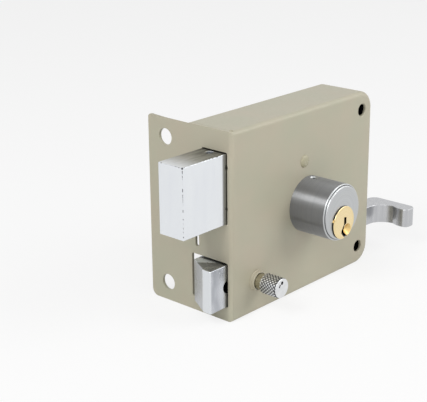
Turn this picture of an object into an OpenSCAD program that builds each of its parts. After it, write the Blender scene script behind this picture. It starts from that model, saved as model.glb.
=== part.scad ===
// Rim box lock with a dead bolt, a sprung latch, a key cylinder and a pull lever.
// Millimetres. The modules are drawn from the case's own corner: X runs from the
// forend's outer face along the case, Y from the front face towards the door and Z up
// from the bottom. seat() then puts the origin on the key plug's axis at the door face.

/* [Case] */
// Length of the case from the forend's outer face to the lever end
case_l = 103; // [98:1:120]
// Height of the case
case_h = 88; // [88:1:100]
// Depth of the case from the front face to the door
case_d = 25; // [25:0.5:32]
// Thickness of the folded steel sheet
sheet_t = 1.5; // [1.2:0.1:1.8]
// Outside radius of the folds round the front face
fold_r = 2.2; // [2:0.1:3]
// Radius of the two rounded corners at the lever end
corner_r = 9; // [6:0.5:11]
// Whole width of the forend, from the front face to its free edge
forend_w = 50; // [46:1:60]
// Radius of the forend's two free corners
forend_corner_r = 3.5; // [1:0.5:5]
// Radius of the relief holes where the folds meet
relief_r = 0.7; // [0.4:0.1:0.9]
// Thickness of the back plate
back_plate_t = 1.5; // [1.2:0.1:2]
// Distance from the forend's outer face to the back plate
back_plate_x = 8; // [6:0.5:12]

/* [Fixing holes] */
// Diameter of the screw holes in the forend
forend_hole_d = 7.6; // [5:0.1:8]
// Distance of the forend holes from the front face
forend_hole_y = 39.4; // [34:0.1:41]
// Distance of the forend holes from the top and the bottom of the case
forend_hole_edge = 9; // [6:0.5:14]
// Diameter of the screw holes at the lever end
rear_hole_d = 5.8; // [4:0.1:6]
// Distance of those holes from the lever end
rear_hole_inset = 8.3; // [7:0.1:9]
// Distance of those holes from the top and the bottom of the case
rear_hole_edge = 9; // [7:0.1:9.4]
// Wall of the spacer tubes round those holes
tube_wall = 0.8; // [0.6:0.1:1]
// Diameter of the hole in the back plate for the outside cylinder's tailpiece
tailpiece_hole_d = 16; // [12:0.5:20]
// Diameter of the back plate screws
screw_d = 3; // [2.5:0.1:3.4]
// Diameter of their countersunk heads
screw_head_d = 5.6; // [5.2:0.1:6.5]
// Length of the back plate screws
screw_l = 8; // [5:0.5:10]

/* [Dead bolt] */
// How far the dead bolt stands out when it is thrown
bolt_out = 27; // [26.5:0.5:32]
// How far its block reaches into the case when it is thrown
bolt_in = 12; // [11:0.5:14]
// Thickness of the bolt
bolt_t = 14; // [12:0.5:15]
// Height of the bolt
bolt_h = 32; // [31:0.5:33]
// Distance of the bolt from the front face
bolt_y = 3.1; // [2.5:0.1:4]
// Distance of the bolt's top from the top of the case
bolt_top = 9.9; // [9.4:0.1:11]
// Thickness of the bolt's tail plate
tail_t = 3; // [2.5:0.1:3.4]
// Length of the tail plate that sits in the bolt
tail_grip = 10; // [8:0.5:10]
// Step from the bolt's top and bottom to its tail's edges
tail_step = 4; // [3.5:0.5:5]
// Diameter of the rivets that hold the tail
bolt_rivet_d = 3.8; // [3:0.1:5]
// Spacing of those rivets
bolt_rivet_pitch = 16; // [12:1:18]
// Diameter of the hardened pin through the bolt
saw_pin_d = 3.5; // [2.5:0.1:5]
// Distance of that pin outside the forend
saw_pin_x = 3; // [2.5:0.5:20]

/* [Latch] */
// How far the latch stands out at rest
latch_out = 11; // [10:0.5:14]
// How far its block reaches into the case at rest
latch_in = 22; // [21.5:0.5:24]
// Thickness of the latch
latch_t = 16; // [14:0.5:17]
// Height of the latch
latch_h = 20.2; // [19:0.2:21]
// Distance of the latch from the front face
latch_y = 3; // [3:0.1:4]
// Height of the latch's underside above the bottom of the case
latch_z = 7; // [6:0.1:7.5]
// Width of the latch's flat nose
latch_nose = 4.2; // [2:0.1:6]
// Distance outside the forend at which the bevel meets the latch's back
latch_shoulder = 4.2; // [2:0.1:7]
// Travel of the latch
latch_throw = 12; // [11:0.1:12.5]
// Gap between the latch's back and the edge of its window
latch_window_back = 5.1; // [1:0.1:5.2]
// Thickness of the latch's tail bar
bar_t = 3; // [2.5:0.1:3.5]
// Height of the latch's tail bar
bar_h = 6; // [5:0.2:6.4]
// Diameter of the cross pins at the ends of the tail bar
cross_pin_d = 2.4; // [1.6:0.1:2.6]
// Length of the slot that looks into the case below the bolt
peep_l = 12.4; // [6:0.2:13]
// Width of that slot
peep_w = 2.1; // [1:0.1:2.5]
// Distance of that slot from the front face
peep_y = 19.8; // [18.5:0.1:20.5]
// Height of that slot's lower end
peep_z = 31.6; // [30:0.2:32]

/* [Cylinder] */
// Distance from the forend's outer face to the cylinder's axis
cyl_x = 53; // [51:0.5:55]
// Distance of the key plug's axis below the middle of the bolt
plug_below = 24; // [23.4:0.1:25]
// Outside diameter of the cylinder's sleeve
cyl_d = 26.6; // [26.2:0.1:30]
// How far the cylinder stands out of the front face
cyl_out = 20.3; // [19.5:0.1:26]
// Wall of the sleeve
sleeve_wall = 1.15; // [0.8:0.05:1.3]
// Thickness of the cylinder's face disc
face_t = 1.3; // [1:0.1:1.6]
// Diameter of the key plug
plug_d = 12.8; // [12:0.1:13.2]
// Diameter of the plug's head
plug_head_d = 15.4; // [14.6:0.1:15.8]
// Distance of the plug's axis below the cylinder's axis
plug_drop = 4.6; // [4.2:0.1:4.8]
// How far the plug's head stands out of the face
plug_proud = 0.8; // [0.2:0.1:1.5]
// Depth of the seat that the plug's head lies in
plug_seat = 1.2; // [0.6:0.1:1.8]
// Height of the keyway
keyway_h = 10; // [8:0.2:10.4]
// Width of the keyway's narrow upper leg
keyway_w = 1.1; // [0.8:0.1:1.5]
// Number of pin stacks
pin_count = 5; // [3:1:5]
// Spacing of the pin stacks
pin_pitch = 2.7; // [2.6:0.1:2.8]
// Gap between the last pin stack and the set screw
pin_screw_gap = 0.5; // [0.3:0.1:0.8]
// Diameter of the pins
pin_d = 2.4; // [1.8:0.1:2.4]
// Length of the pins on the key's side
key_pin_l = 5.2; // [3.5:0.1:5.6]
// Length of the driver pins
driver_pin_l = 4.5; // [3.5:0.1:5.5]
// Diameter of the screws that hold the cylinder
cyl_screw_d = 3.2; // [2.6:0.1:4]
// Half the spacing of those screws
cyl_screw_x = 8.5; // [8:0.1:9]
// Diameter of the set screw on top of the sleeve
set_screw_d = 2.6; // [2:0.1:3]
// Distance of the set screw from the front face
set_screw_y = 3.6; // [3.4:0.1:4]

/* [Key drive] */
// Turn of the key plug from bolt thrown to bolt drawn
key_arc = 120; // [112:1:122]
// Radius from the plug's axis to the crank pin
crank_r = 15; // [14.6:0.1:15.2]
// Diameter of the crank pin
crank_pin_d = 5; // [4:0.1:5.4]
// Thickness of the crank arm
crank_t = 2.5; // [2:0.1:2.8]
// Diameter of the drive cam's hub
hub_d = 10; // [9:0.1:10.4]
// Side of the plug's square tang
tang_w = 5; // [4:0.1:5.4]
// Radius from the plug's axis to the tip of the latch finger
finger_r = 14; // [12:0.2:14.6]
// Width of the latch finger
finger_w = 5; // [4:0.2:5.4]
// Thickness of the retractor and of the latch finger
retractor_t = 1.8; // [1.4:0.1:2.2]
// Width of the retractor's arms
retractor_w = 8; // [7:0.2:9]
// Distance of the retractor's stud beyond the plug's axis
stud_x = 19; // [18:0.2:20]
// Diameter of that stud
stud_d = 3; // [2.4:0.1:3.2]
// Distance of the guide post behind the plug's axis, towards the forend
post_back = 2.7; // [2:0.1:3.2]
// Height of the guide post above the middle of the bolt
post_up = 1.6; // [0.8:0.1:2]
// Diameter of the guide post
post_d = 4.4; // [4:0.1:4.8]
// Diameter of its riveted head on the front face
post_head_d = 6; // [4.2:0.1:7]
// Height of that head
post_head_h = 1; // [0.6:0.1:1.4]
// Thickness of the bolt's detent spring
leaf_t = 0.7; // [0.5:0.05:0.8]

/* [Hold-back knob] */
// Distance of the knob's axis from the forend's outer face
knob_x = 16.7; // [16:0.1:17.4]
// Height of the knob's axis
knob_z = 15.6; // [15:0.1:17]
// Diameter of the knurled knob
knob_d = 9.3; // [8.6:0.1:12]
// Length of the knurled part
knob_l = 9.6; // [7:0.1:13]
// Diameter of the knob's neck
neck_d = 7; // [6.2:0.1:7.2]
// Diameter of the knob's stem
stem_d = 4.6; // [3.6:0.1:5]
// Travel of the knob
knob_travel = 3; // [2.6:0.1:3.2]
// Diameter of the bush's collar on the front face
collar_d = 10; // [9.6:0.1:12]
// Height of that collar
collar_h = 1.9; // [1.7:0.1:2.4]
// Diameter of the stem's holes in the latch
stem_hole_d = 6.2; // [5.6:0.1:6.4]
// Depth of the stem's holes in the latch
stem_hole_l = 4; // [3.2:0.1:4.5]

/* [Pull lever] */
// How far the lever stands beyond the end of the case
lever_reach = 27; // [24:0.5:40]
// Height of the lever
lever_h = 9.6; // [8.4:0.1:9.8]
// Height of the lever's middle above the bottom of the case
lever_z = 18; // [17.9:0.1:18.4]
// Distance of the lever's arm from the front face
lever_y = 7.4; // [6.5:0.1:8]
// Thickness of the lever's arm
lever_t = 8.6; // [8:0.1:9]
// Thickness of the grip
grip_t = 7.2; // [5:0.1:9]
// How far the grip reaches in front of the front face
grip_out = 10.4; // [6:0.1:16]
// Length of the lever's arm inside the case
lever_in = 16; // [14.5:0.5:17]
// Radius of the lever's outer corner
elbow_r = 4; // [1:0.5:6]
// Radius of the fillet inside the elbow
elbow_fillet_r = 6; // [2:0.5:7]
// Radius of the grip's tip
grip_tip_r = 2.5; // [1:0.1:2.5]

/* [Fits] */
// Gap round a part that slides in a window
slide_gap = 0.3; // [0.2:0.05:0.4]
// Radial gap round a part that turns
turn_gap = 0.05; // [0.03:0.01:0.1]
// Gap round a part that is fixed in its seat
seat_gap = 0.05; // [0.02:0.01:0.08]
// Gap between the moving layers inside the case
layer_gap = 0.4; // [0.3:0.05:0.5]
// Slack of the crank pin in the bolt's notch, each side
crank_slack = 1.35; // [1.2:0.05:1.5]
// Slack of the stud in the retractor's fork, each side
fork_slack = 0.6; // [0.5:0.05:0.8]

/* [Hidden] */
$fn = 72;
EPS = 1;
INNER_BACK = case_d - back_plate_t;
CASE_TOP = case_h - sheet_t;

// The bolt's place, and the axes of the plug, the cylinder and the post
bolt_z = case_h - bolt_top - bolt_h;
plug_z = bolt_z + bolt_h / 2 - plug_below;
cyl_z = plug_z + plug_drop;
post_x = cyl_x - post_back;
post_z = bolt_z + bolt_h / 2 + post_up;
post_r = post_d / 2;
post_shank_step = 0.6;
post_shank_r = post_r - post_shank_step;

// The dead bolt's tail
bolt_throw = 2 * crank_r * sin(key_arc / 2);
tail_y = bolt_y + (bolt_t - tail_t) / 2;
tail_y1 = tail_y + tail_t;
tail_z = bolt_z + tail_step;
tail_z1 = bolt_z + bolt_h - tail_step;
nose_ahead = 3;
nose_x = cyl_x + nose_ahead;
tail_past_nose = 6;
tail_x1 = nose_x + tail_past_nose;
talon_x = cyl_x - bolt_throw / 2;
talon_w = crank_pin_d + 2 * crank_slack;
talon_z1 = plug_z + crank_r + crank_pin_d / 2 + layer_gap;
lug_wall = 5;
lug_w = talon_w + 2 * lug_wall;
lug_z = plug_z + hub_d / 2 + layer_gap;
rivet_x = bolt_in - tail_grip / 2;
notch_w = 6.8;
notch_h = 2.1;
nose_h = 3;
nose_depth = 1.4;
pin_recess = 0.3;

// The detent spring and its block
leaf_rise = 7;
leaf_reach = 15;
leaf_z = tail_z1 + leaf_rise;
leaf_w = tail_t - 2 * slide_gap;
block_x = nose_x + leaf_reach;
block_l = 9;
block_wall = 2;
block_z = leaf_z - block_wall;
block_y = tail_y - block_wall;
block_screw_z = CASE_TOP - screw_head_d / 2 - slide_gap;

// The latch's tail bar and the pull lever
bar_y = lever_y + (lever_t - bar_t) / 2;
bar_y1 = bar_y + bar_t;
bar_grip = 11;
bar_mid_y = bar_y + bar_t / 2;
lever_x = case_l - lever_in;
lever_x1 = case_l + lever_reach;
lever_z0 = lever_z - lever_h / 2;
lever_y1 = lever_y + lever_t;
pin_in = 5;
guide_back = 3;
guide_x = cyl_x - guide_back;
guide_t = 2;
guide_boss = 8;
spring_r = 4.3;
spring_wire = 1.2;
spring_seat_r = spring_r + spring_wire;
spring_turns = 9;

// The layers of the key drive, from the front to the back
crank_y1 = tail_y - layer_gap;
hub_y = crank_y1 - crank_t;
retractor_y = max(tail_y1, bar_y1) + layer_gap + slide_gap;
retractor_y1 = retractor_y + retractor_t;
hub_y1 = retractor_y1 + slide_gap;
clip_t = 0.8;
clip_y1 = hub_y1 + seat_gap + clip_t;
clip_wall = 2;
clip_groove = 0.3;
tailpiece_slot_w = 1.8;
tailpiece_slot_l = 2.2;
tang_y1 = clip_y1 + clip_groove + tailpiece_slot_l;
crank_wall = 1;
crank_w = crank_pin_d + 2 * crank_wall;

// The retractor turns on the guide post and its fork rides on the stud
finger_end = 25;
stud_at = cyl_x + stud_x;
fork_a = atan2(stud_at - post_x, post_z - lever_z);
fork_r = norm([stud_at - post_x, post_z - lever_z]);
fork_r1 = norm([stud_at + latch_throw - post_x, post_z - lever_z]);
fork_w = stud_d + 2 * fork_slack;
fork_side = 2.4;
fork_root = 14;
retractor_x = cyl_x + finger_r * sin(finger_end) + finger_w / 2 + 3 * slide_gap;
retractor_hub_wall = 3.3;
retractor_arm_rise = 9;

// The cylinder
sleeve_r = cyl_d / 2;
core_r = sleeve_r - sleeve_wall - seat_gap;
shoulder_y = face_t - cyl_out;
boss_wall = 1.6;
boss_r = plug_d / 2 + boss_wall;
face_inset = 0.1;
face_r = sleeve_r - face_inset;
face_edge_r = 0.8;
plug_top = plug_z + plug_d / 2;
chamber_r = pin_d / 2 + seat_gap;
pin_last = set_screw_y + set_screw_d / 2 + pin_screw_gap + pin_d / 2;
sleeve_in_z = cyl_z + sleeve_r - sleeve_wall;
cyl_screw_up = 2;
cyl_screw_z = cyl_z + cyl_screw_up;
cyl_screw_l = 8;
cyl_screw_gap = 0.3;
cyl_head_rim = 1.6;
cyl_head_r = cyl_screw_d / 2 + cyl_head_rim;
cyl_head_h = 2.4;
driver_slot_w = 1;
driver_slot_h = 0.8;
set_screw_rise = 4;
set_screw_z = plug_top + set_screw_rise;
set_screw_sunk = 0.5;
set_screw_top = cyl_z + sleeve_r - set_screw_sunk;
shear_gap = 0.15;
pin_wire = 0.4;
key_depth = 22;

// The hold-back knob
neck_end = latch_y - knob_travel - slide_gap;
knob_y1 = -collar_h - knob_travel - seat_gap;
knob_y = knob_y1 - knob_l;
stem_y1 = latch_y - slide_gap;
bush_wall = 0.9;
bush_r = neck_d / 2 + bush_wall;
bush_y1 = sheet_t + bush_wall;
ring_inset = 0.55;
ring_y = ring_inset - collar_h;
ring_t = 0.6;
ring_bite = 0.35;
ring_r = neck_d / 2 - ring_bite;
ring_stand = 0.4;
ring_out_r = neck_d / 2 + ring_stand;
ring_split = 1.6;
knob_chamfer = 0.6;
holdback_x = knob_x - latch_throw;
stem_hole_x = 2;

STEEL = "#A9ADB0";
PAINT = "#B9B4A2";
BRIGHT = "#DDE1E4";
BRASS = "#E6CE8E";
SATIN = "#B9BABB";
SPRING = "#8E9296";

// Moves what is drawn from the case's corner into the part's frame
module seat() {
    translate([-cyl_x, -case_d, -plug_z])
        children();
}

// Box between two opposite corners
module block(low, high) {
    translate(low)
        cube(high - low);
}

// Rods along X, Y and Z
module rod_x(y, z, x0, x1, r) {
    translate([x0, y, z])
        rotate([0, 90, 0])
            cylinder(h = x1 - x0, r = r);
}

module rod_y(x, z, y0, y1, r) {
    translate([x, y0, z])
        rotate([-90, 0, 0])
            cylinder(h = y1 - y0, r = r);
}

module rod_z(x, y, z0, z1, r) {
    translate([x, y, z0])
        cylinder(h = z1 - z0, r = r);
}

// Plate of an X-Z outline between two depths
module plate_y(y0, y1) {
    translate([0, y1, 0])
        rotate([90, 0, 0])
            linear_extrude(y1 - y0)
                children();
}

// Plate of a Y-Z outline between two places along X
module plate_x(x0, x1) {
    translate([x0, 0, 0])
        rotate([90, 0, 90])
            linear_extrude(x1 - x0)
                children();
}

// Slot with round ends along X
module slot_2d(x0, x1, z, w) {
    translate([x0, z])
        circle(d = w);
    translate([x1, z])
        circle(d = w);
    translate([x0, z - w / 2])
        square([x1 - x0, w]);
}

// Both fixing holes at the lever end
module at_rear_holes() {
    for (z = [rear_hole_edge, case_h - rear_hole_edge])
        translate([case_l - rear_hole_inset, 0, z])
            children();
}

// The three screws of the back plate
module at_plate_screws() {
    places = [
        [post_x, post_z],
        [guide_x + guide_t + guide_boss / 2, sheet_t + guide_boss / 2],
        [block_x + block_l / 2, block_screw_z]
    ];
    for (place = places)
        translate([place.x, 0, place.y])
            children();
}

// Tapped hole for a back plate screw, from the plate's inner face
module screw_hole() {
    rod_y(0, 0, INNER_BACK - screw_l, case_d, screw_d / 2 + seat_gap);
}

// Wire wound along Z, as one tube
module coil(r, wire, length, turns, steps = 8, sides = 6) {
    count = turns * steps;
    points = [
        for (i = [0:count], j = [0:sides - 1])
            let (turn = 360 * i / steps, a = 360 * j / sides, out = r + wire / 2 * cos(a))
                [out * cos(turn), out * sin(turn),
                 wire / 2 + (length - wire) * i / count + wire / 2 * sin(a)]
    ];
    sheath = [
        for (i = [0:count - 1], j = [0:sides - 1])
            let (k = (j + 1) % sides)
                each [
                    [i * sides + j, i * sides + k, (i + 1) * sides + k],
                    [i * sides + j, (i + 1) * sides + k, (i + 1) * sides + j]
                ]
    ];
    caps = [
        [for (j = [sides - 1:-1:0]) j],
        [for (j = [0:sides - 1]) count * sides + j]
    ];
    polyhedron(points, concat(sheath, caps));
}

// Fold of the sheet: first axis inwards from the rim's outer face, second from the front
module fold_2d() {
    intersection() {
        translate([fold_r, fold_r])
            difference() {
                circle(fold_r);
                circle(fold_r - sheet_t);
            }
        square(fold_r);
    }
}

module rim_2d() {
    fold_2d();
    translate([0, fold_r])
        square([sheet_t, case_d - fold_r]);
    translate([fold_r, 0])
        square([corner_r - fold_r, sheet_t]);
}

// Bottom rim with its rounded corner; the top rim is its mirror image
module bottom_rim() {
    plate_x(fold_r, case_l - corner_r)
        mirror([1, -1])
            rim_2d();
    block([sheet_t, fold_r, 0], [fold_r, case_d, sheet_t]);
    translate([case_l - corner_r, 0, corner_r])
        rotate([-90, 0, 0])
            rotate_extrude(angle = 90)
                translate([corner_r, 0])
                    mirror([1, 0])
                        rim_2d();
}

module lever_end_rim() {
    translate([case_l, 0, corner_r])
        linear_extrude(case_h - 2 * corner_r)
            mirror([1, 0])
                rim_2d();
}

module forend() {
    linear_extrude(case_h)
        fold_2d();
    edge = forend_w - forend_corner_r;
    plate_x(0, sheet_t) {
        translate([fold_r, 0])
            square([edge - fold_r, case_h]);
        translate([edge, forend_corner_r])
            square([forend_corner_r, case_h - 2 * forend_corner_r]);
        for (z = [forend_corner_r, case_h - forend_corner_r])
            translate([edge, z])
                circle(forend_corner_r);
    }
}

module forend_windows() {
    block([-EPS, bolt_y - slide_gap, bolt_z - slide_gap],
          [sheet_t + EPS, bolt_y + bolt_t + slide_gap, bolt_z + bolt_h + slide_gap]);
    block([-EPS, latch_y - slide_gap, latch_z - slide_gap],
          [sheet_t + EPS, latch_y + latch_t + latch_window_back, latch_z + latch_h + 3 * slide_gap]);
    block([-EPS, peep_y, peep_z], [sheet_t + EPS, peep_y + peep_w, peep_z + peep_l]);
    for (z = [forend_hole_edge, case_h - forend_hole_edge])
        rod_x(forend_hole_y, z, -EPS, sheet_t + EPS, forend_hole_d / 2);
}

module front_holes() {
    at_rear_holes()
        rod_y(0, 0, -EPS, sheet_t + EPS, rear_hole_d / 2);
    rod_y(cyl_x, plug_z, -EPS, sheet_t + EPS, boss_r + seat_gap);
    for (side = [-1, 1])
        rod_y(cyl_x + side * cyl_screw_x, cyl_screw_z, -EPS, sheet_t + EPS, cyl_screw_d / 2 + cyl_screw_gap);
    rod_y(post_x, post_z, -EPS, sheet_t + EPS, post_shank_r + seat_gap);
    rod_y(knob_x, knob_z, -EPS, sheet_t + EPS, bush_r + seat_gap);
}

module case_shell() {
    color(PAINT)
        difference() {
            union() {
                forend();
                bottom_rim();
                translate([0, 0, case_h])
                    mirror([0, 0, 1])
                        bottom_rim();
                lever_end_rim();
                block([fold_r, 0, corner_r], [case_l - corner_r, sheet_t, case_h - corner_r]);
            }
            forend_windows();
            front_holes();
            block([case_l - sheet_t - EPS, lever_y - slide_gap, lever_z0 - slide_gap],
                  [case_l + EPS, lever_y1 + slide_gap, lever_z0 + lever_h + slide_gap]);
            for (z = [-EPS, CASE_TOP - EPS])
                rod_z(fold_r, fold_r, z, z + sheet_t + 2 * EPS, relief_r);
        }
}

// The back plate lies inside the rims, flush with their edges
module back_plate() {
    edge = sheet_t + seat_gap;
    r = corner_r - edge;
    far = case_l - corner_r;
    color(PAINT)
        difference() {
            plate_y(INNER_BACK, case_d) {
                translate([back_plate_x, edge])
                    square([far - back_plate_x, case_h - 2 * edge]);
                translate([far, corner_r])
                    square([r, case_h - 2 * corner_r]);
                for (z = [corner_r, case_h - corner_r])
                    translate([far, z])
                        circle(r);
            }
            rod_y(cyl_x, plug_z, INNER_BACK - EPS, case_d + EPS, tailpiece_hole_d / 2);
            at_rear_holes()
                rod_y(0, 0, INNER_BACK - EPS, case_d + EPS, rear_hole_d / 2);
            at_plate_screws()
                plate_screw(seat_gap);
        }
}

// Countersunk screw, grown by a gap where it is used as a cutter
module plate_screw(gap = 0) {
    head_h = (screw_head_d - screw_d) / 2;
    rod_y(0, 0, INNER_BACK - screw_l + slide_gap, case_d, screw_d / 2 + gap);
    translate([0, case_d - head_h, 0])
        rotate([-90, 0, 0])
            cylinder(h = head_h, r1 = screw_d / 2 + gap, r2 = screw_head_d / 2 + gap);
}

module back_plate_screws() {
    color(STEEL)
        at_plate_screws()
            difference() {
                plate_screw();
                block([-driver_slot_w / 2, case_d - driver_slot_h, -screw_head_d],
                      [driver_slot_w / 2, case_d + EPS, screw_head_d]);
            }
}

module spacer_tubes() {
    color(STEEL)
        at_rear_holes()
            difference() {
                rod_y(0, 0, sheet_t, INNER_BACK, rear_hole_d / 2 + tube_wall);
                rod_y(0, 0, sheet_t - EPS, INNER_BACK + EPS, rear_hole_d / 2);
            }
}

// Post riveted into the front face, with a domed head outside and a tapped end
module guide_post() {
    head_r = post_head_d / 2;
    dome_r = (head_r * head_r + post_head_h * post_head_h) / (2 * post_head_h);
    color(PAINT)
        translate([post_x, 0, post_z])
            difference() {
                union() {
                    rod_y(0, 0, sheet_t, INNER_BACK, post_r);
                    rod_y(0, 0, -post_head_h / 4, sheet_t + EPS, post_shank_r);
                    intersection() {
                        translate([0, dome_r - post_head_h, 0])
                            sphere(dome_r);
                        rod_y(0, 0, -2 * post_head_h, 0, dome_r);
                    }
                }
                screw_hole();
            }
}

// Bracket on the bottom rim that guides the tail bar and stops the latch spring
module latch_guide() {
    boss_x = guide_x + guide_t;
    color(STEEL)
        difference() {
            union() {
                block([guide_x, bar_mid_y - spring_seat_r, sheet_t],
                      [boss_x, INNER_BACK, lever_z + spring_seat_r]);
                block([boss_x, INNER_BACK - screw_l - guide_t, sheet_t],
                      [boss_x + guide_boss, INNER_BACK, sheet_t + guide_boss]);
            }
            block([guide_x - EPS, bar_y - slide_gap, lever_z - bar_h / 2 - slide_gap],
                  [boss_x + EPS, bar_y1 + slide_gap, lever_z + bar_h / 2 + slide_gap]);
            translate([boss_x + guide_boss / 2, 0, sheet_t + guide_boss / 2])
                screw_hole();
        }
}

module latch_spring() {
    color(SPRING)
        translate([latch_in + seat_gap, bar_mid_y, lever_z])
            rotate([0, 90, 0])
                coil(spring_r, spring_wire, guide_x - latch_in - 2 * seat_gap, spring_turns);
}

module detent_block() {
    color(STEEL)
        difference() {
            block([block_x, block_y, block_z], [block_x + block_l, INNER_BACK, CASE_TOP]);
            block([block_x - EPS, tail_y, leaf_z - leaf_t / 2 - seat_gap],
                  [block_x + block_l - block_wall / 2, tail_y1, leaf_z + leaf_t / 2 + seat_gap]);
            translate([block_x + block_l / 2, 0, block_screw_z])
                screw_hole();
        }
}

// Leaf spring whose nose lies in a notch of the bolt's tail
module detent_spring() {
    nose_z = tail_z1 - nose_depth;
    nose_half = 2.5;
    path = [
        [block_x + block_l - block_wall, leaf_z], [block_x - leaf_t, leaf_z],
        [nose_x + nose_half, nose_z + nose_h], [nose_x, nose_z], [nose_x - nose_half, nose_z + nose_h]
    ];
    color(SPRING)
        plate_y(tail_y + slide_gap, tail_y + slide_gap + leaf_w)
            for (i = [0:len(path) - 2]) {
                step = path[i + 1] - path[i];
                translate(path[i]) {
                    circle(d = leaf_t);
                    rotate(atan2(step.y, step.x))
                        translate([0, -leaf_t / 2])
                            square([norm(step), leaf_t]);
                }
                translate(path[i + 1])
                    circle(d = leaf_t);
            }
}

module cylinder_sleeve() {
    color(SATIN)
        difference() {
            rod_y(cyl_x, cyl_z, shoulder_y, 0, sleeve_r);
            rod_y(cyl_x, cyl_z, shoulder_y - EPS, EPS, sleeve_r - sleeve_wall);
            rod_z(cyl_x, -set_screw_y, cyl_z, cyl_z + sleeve_r + EPS, set_screw_d / 2 + seat_gap);
        }
}

// Places of the pin stacks along the plug, from the last one to the first
module at_pins() {
    for (i = [0:pin_count - 1])
        translate([cyl_x, -pin_last - i * pin_pitch, 0])
            children();
}

// Cast core with a rounded face disc, the plug's bore and the pin chambers
module cylinder_core() {
    flat_r = face_r - face_edge_r;
    color("#C3C6CA")
        difference() {
            union() {
                rod_y(cyl_x, cyl_z, shoulder_y, 0, core_r);
                rod_y(cyl_x, plug_z, 0, sheet_t, boss_r);
                translate([cyl_x, -cyl_out, cyl_z])
                    rotate([-90, 0, 0])
                        rotate_extrude() {
                            square([flat_r, face_t]);
                            translate([0, face_edge_r])
                                square([face_r, face_t - face_edge_r]);
                            intersection() {
                                translate([flat_r, face_edge_r])
                                    circle(face_edge_r);
                                translate([flat_r, 0])
                                    square(face_edge_r);
                            }
                        }
            }
            rod_y(cyl_x, plug_z, -cyl_out - EPS, sheet_t + EPS, plug_d / 2 + turn_gap);
            rod_y(cyl_x, plug_z, -cyl_out - EPS, plug_seat - cyl_out, plug_head_d / 2 + turn_gap);
            at_pins()
                rod_z(0, 0, plug_z, cyl_z + sleeve_r, chamber_r);
            for (side = [-1, 1])
                rod_y(cyl_x + side * cyl_screw_x, cyl_screw_z, -cyl_screw_l - slide_gap, EPS,
                      cyl_screw_d / 2 + seat_gap);
            rod_z(cyl_x, -set_screw_y, set_screw_z - slide_gap, cyl_z + sleeve_r,
                  set_screw_d / 2 + seat_gap);
        }
}

module cylinder_screws() {
    color(STEEL)
        for (side = [-1, 1])
            translate([cyl_x + side * cyl_screw_x, 0, cyl_screw_z])
                difference() {
                    union() {
                        rod_y(0, 0, -cyl_screw_l, sheet_t + EPS, cyl_screw_d / 2);
                        rod_y(0, 0, sheet_t, sheet_t + cyl_head_h, cyl_head_r);
                    }
                    block([-driver_slot_w / 2, sheet_t + cyl_head_h - driver_slot_h, -cyl_head_r - EPS],
                          [driver_slot_w / 2, sheet_t + cyl_head_h + EPS, cyl_head_r + EPS]);
                }
}

module set_screw() {
    socket_d = 1.4;
    socket_l = 1.2;
    color(STEEL)
        difference() {
            rod_z(cyl_x, -set_screw_y, set_screw_z, set_screw_top, set_screw_d / 2);
            translate([cyl_x, -set_screw_y, set_screw_top - socket_l])
                cylinder(h = socket_l + EPS, d = socket_d, $fn = 6);
        }
}

module driver_pins() {
    color(BRASS)
        at_pins()
            rod_z(0, 0, plug_top + shear_gap, plug_top + shear_gap + driver_pin_l, pin_d / 2);
}

module pin_springs() {
    low = plug_top + shear_gap + driver_pin_l + seat_gap;
    color(SPRING)
        at_pins()
            translate([0, 0, low])
                coil((pin_d - pin_wire) / 2 - seat_gap, pin_wire, sleeve_in_z - 2 * seat_gap - low, 4);
}

// Bush with a collar on the front face and a groove for the snap ring
module knob_bush() {
    color(PAINT)
        difference() {
            union() {
                rod_y(knob_x, knob_z, -collar_h, 0, collar_d / 2);
                rod_y(knob_x, knob_z, -EPS, bush_y1, bush_r);
            }
            rod_y(knob_x, knob_z, -collar_h - EPS, bush_y1 + EPS, neck_d / 2 + turn_gap);
            rod_y(knob_x, knob_z, ring_y - seat_gap, ring_y + ring_t + seat_gap, ring_out_r + seat_gap);
        }
}

module snap_ring() {
    color(SPRING)
        difference() {
            rod_y(knob_x, knob_z, ring_y, ring_y + ring_t, ring_out_r);
            rod_y(knob_x, knob_z, ring_y - EPS, ring_y + ring_t + EPS, ring_r);
            block([knob_x - ring_split / 2, ring_y - EPS, knob_z - neck_d],
                  [knob_x + ring_split / 2, ring_y + ring_t + EPS, knob_z]);
        }
}

// Dead bolt: a solid block, slotted for its tail and drilled for a hardened pin
module bolt_head() {
    color(BRIGHT)
        difference() {
            block([-bolt_out, bolt_y, bolt_z], [bolt_in, bolt_y + bolt_t, bolt_z + bolt_h]);
            block([bolt_in - tail_grip, tail_y - seat_gap, bolt_z - EPS],
                  [bolt_in + EPS, tail_y1 + seat_gap, bolt_z + bolt_h + EPS]);
            at_bolt_rivets()
                rod_y(0, 0, bolt_y - EPS, bolt_y + bolt_t + EPS, bolt_rivet_d / 2 + seat_gap);
            rod_z(-saw_pin_x, bolt_y + bolt_t / 2, bolt_z - EPS, bolt_z + bolt_h + EPS,
                  saw_pin_d / 2 + seat_gap);
        }
}

module at_bolt_rivets() {
    for (side = [-1, 1])
        translate([rivet_x, 0, bolt_z + bolt_h / 2 + side * bolt_rivet_pitch / 2])
            children();
}

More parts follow.
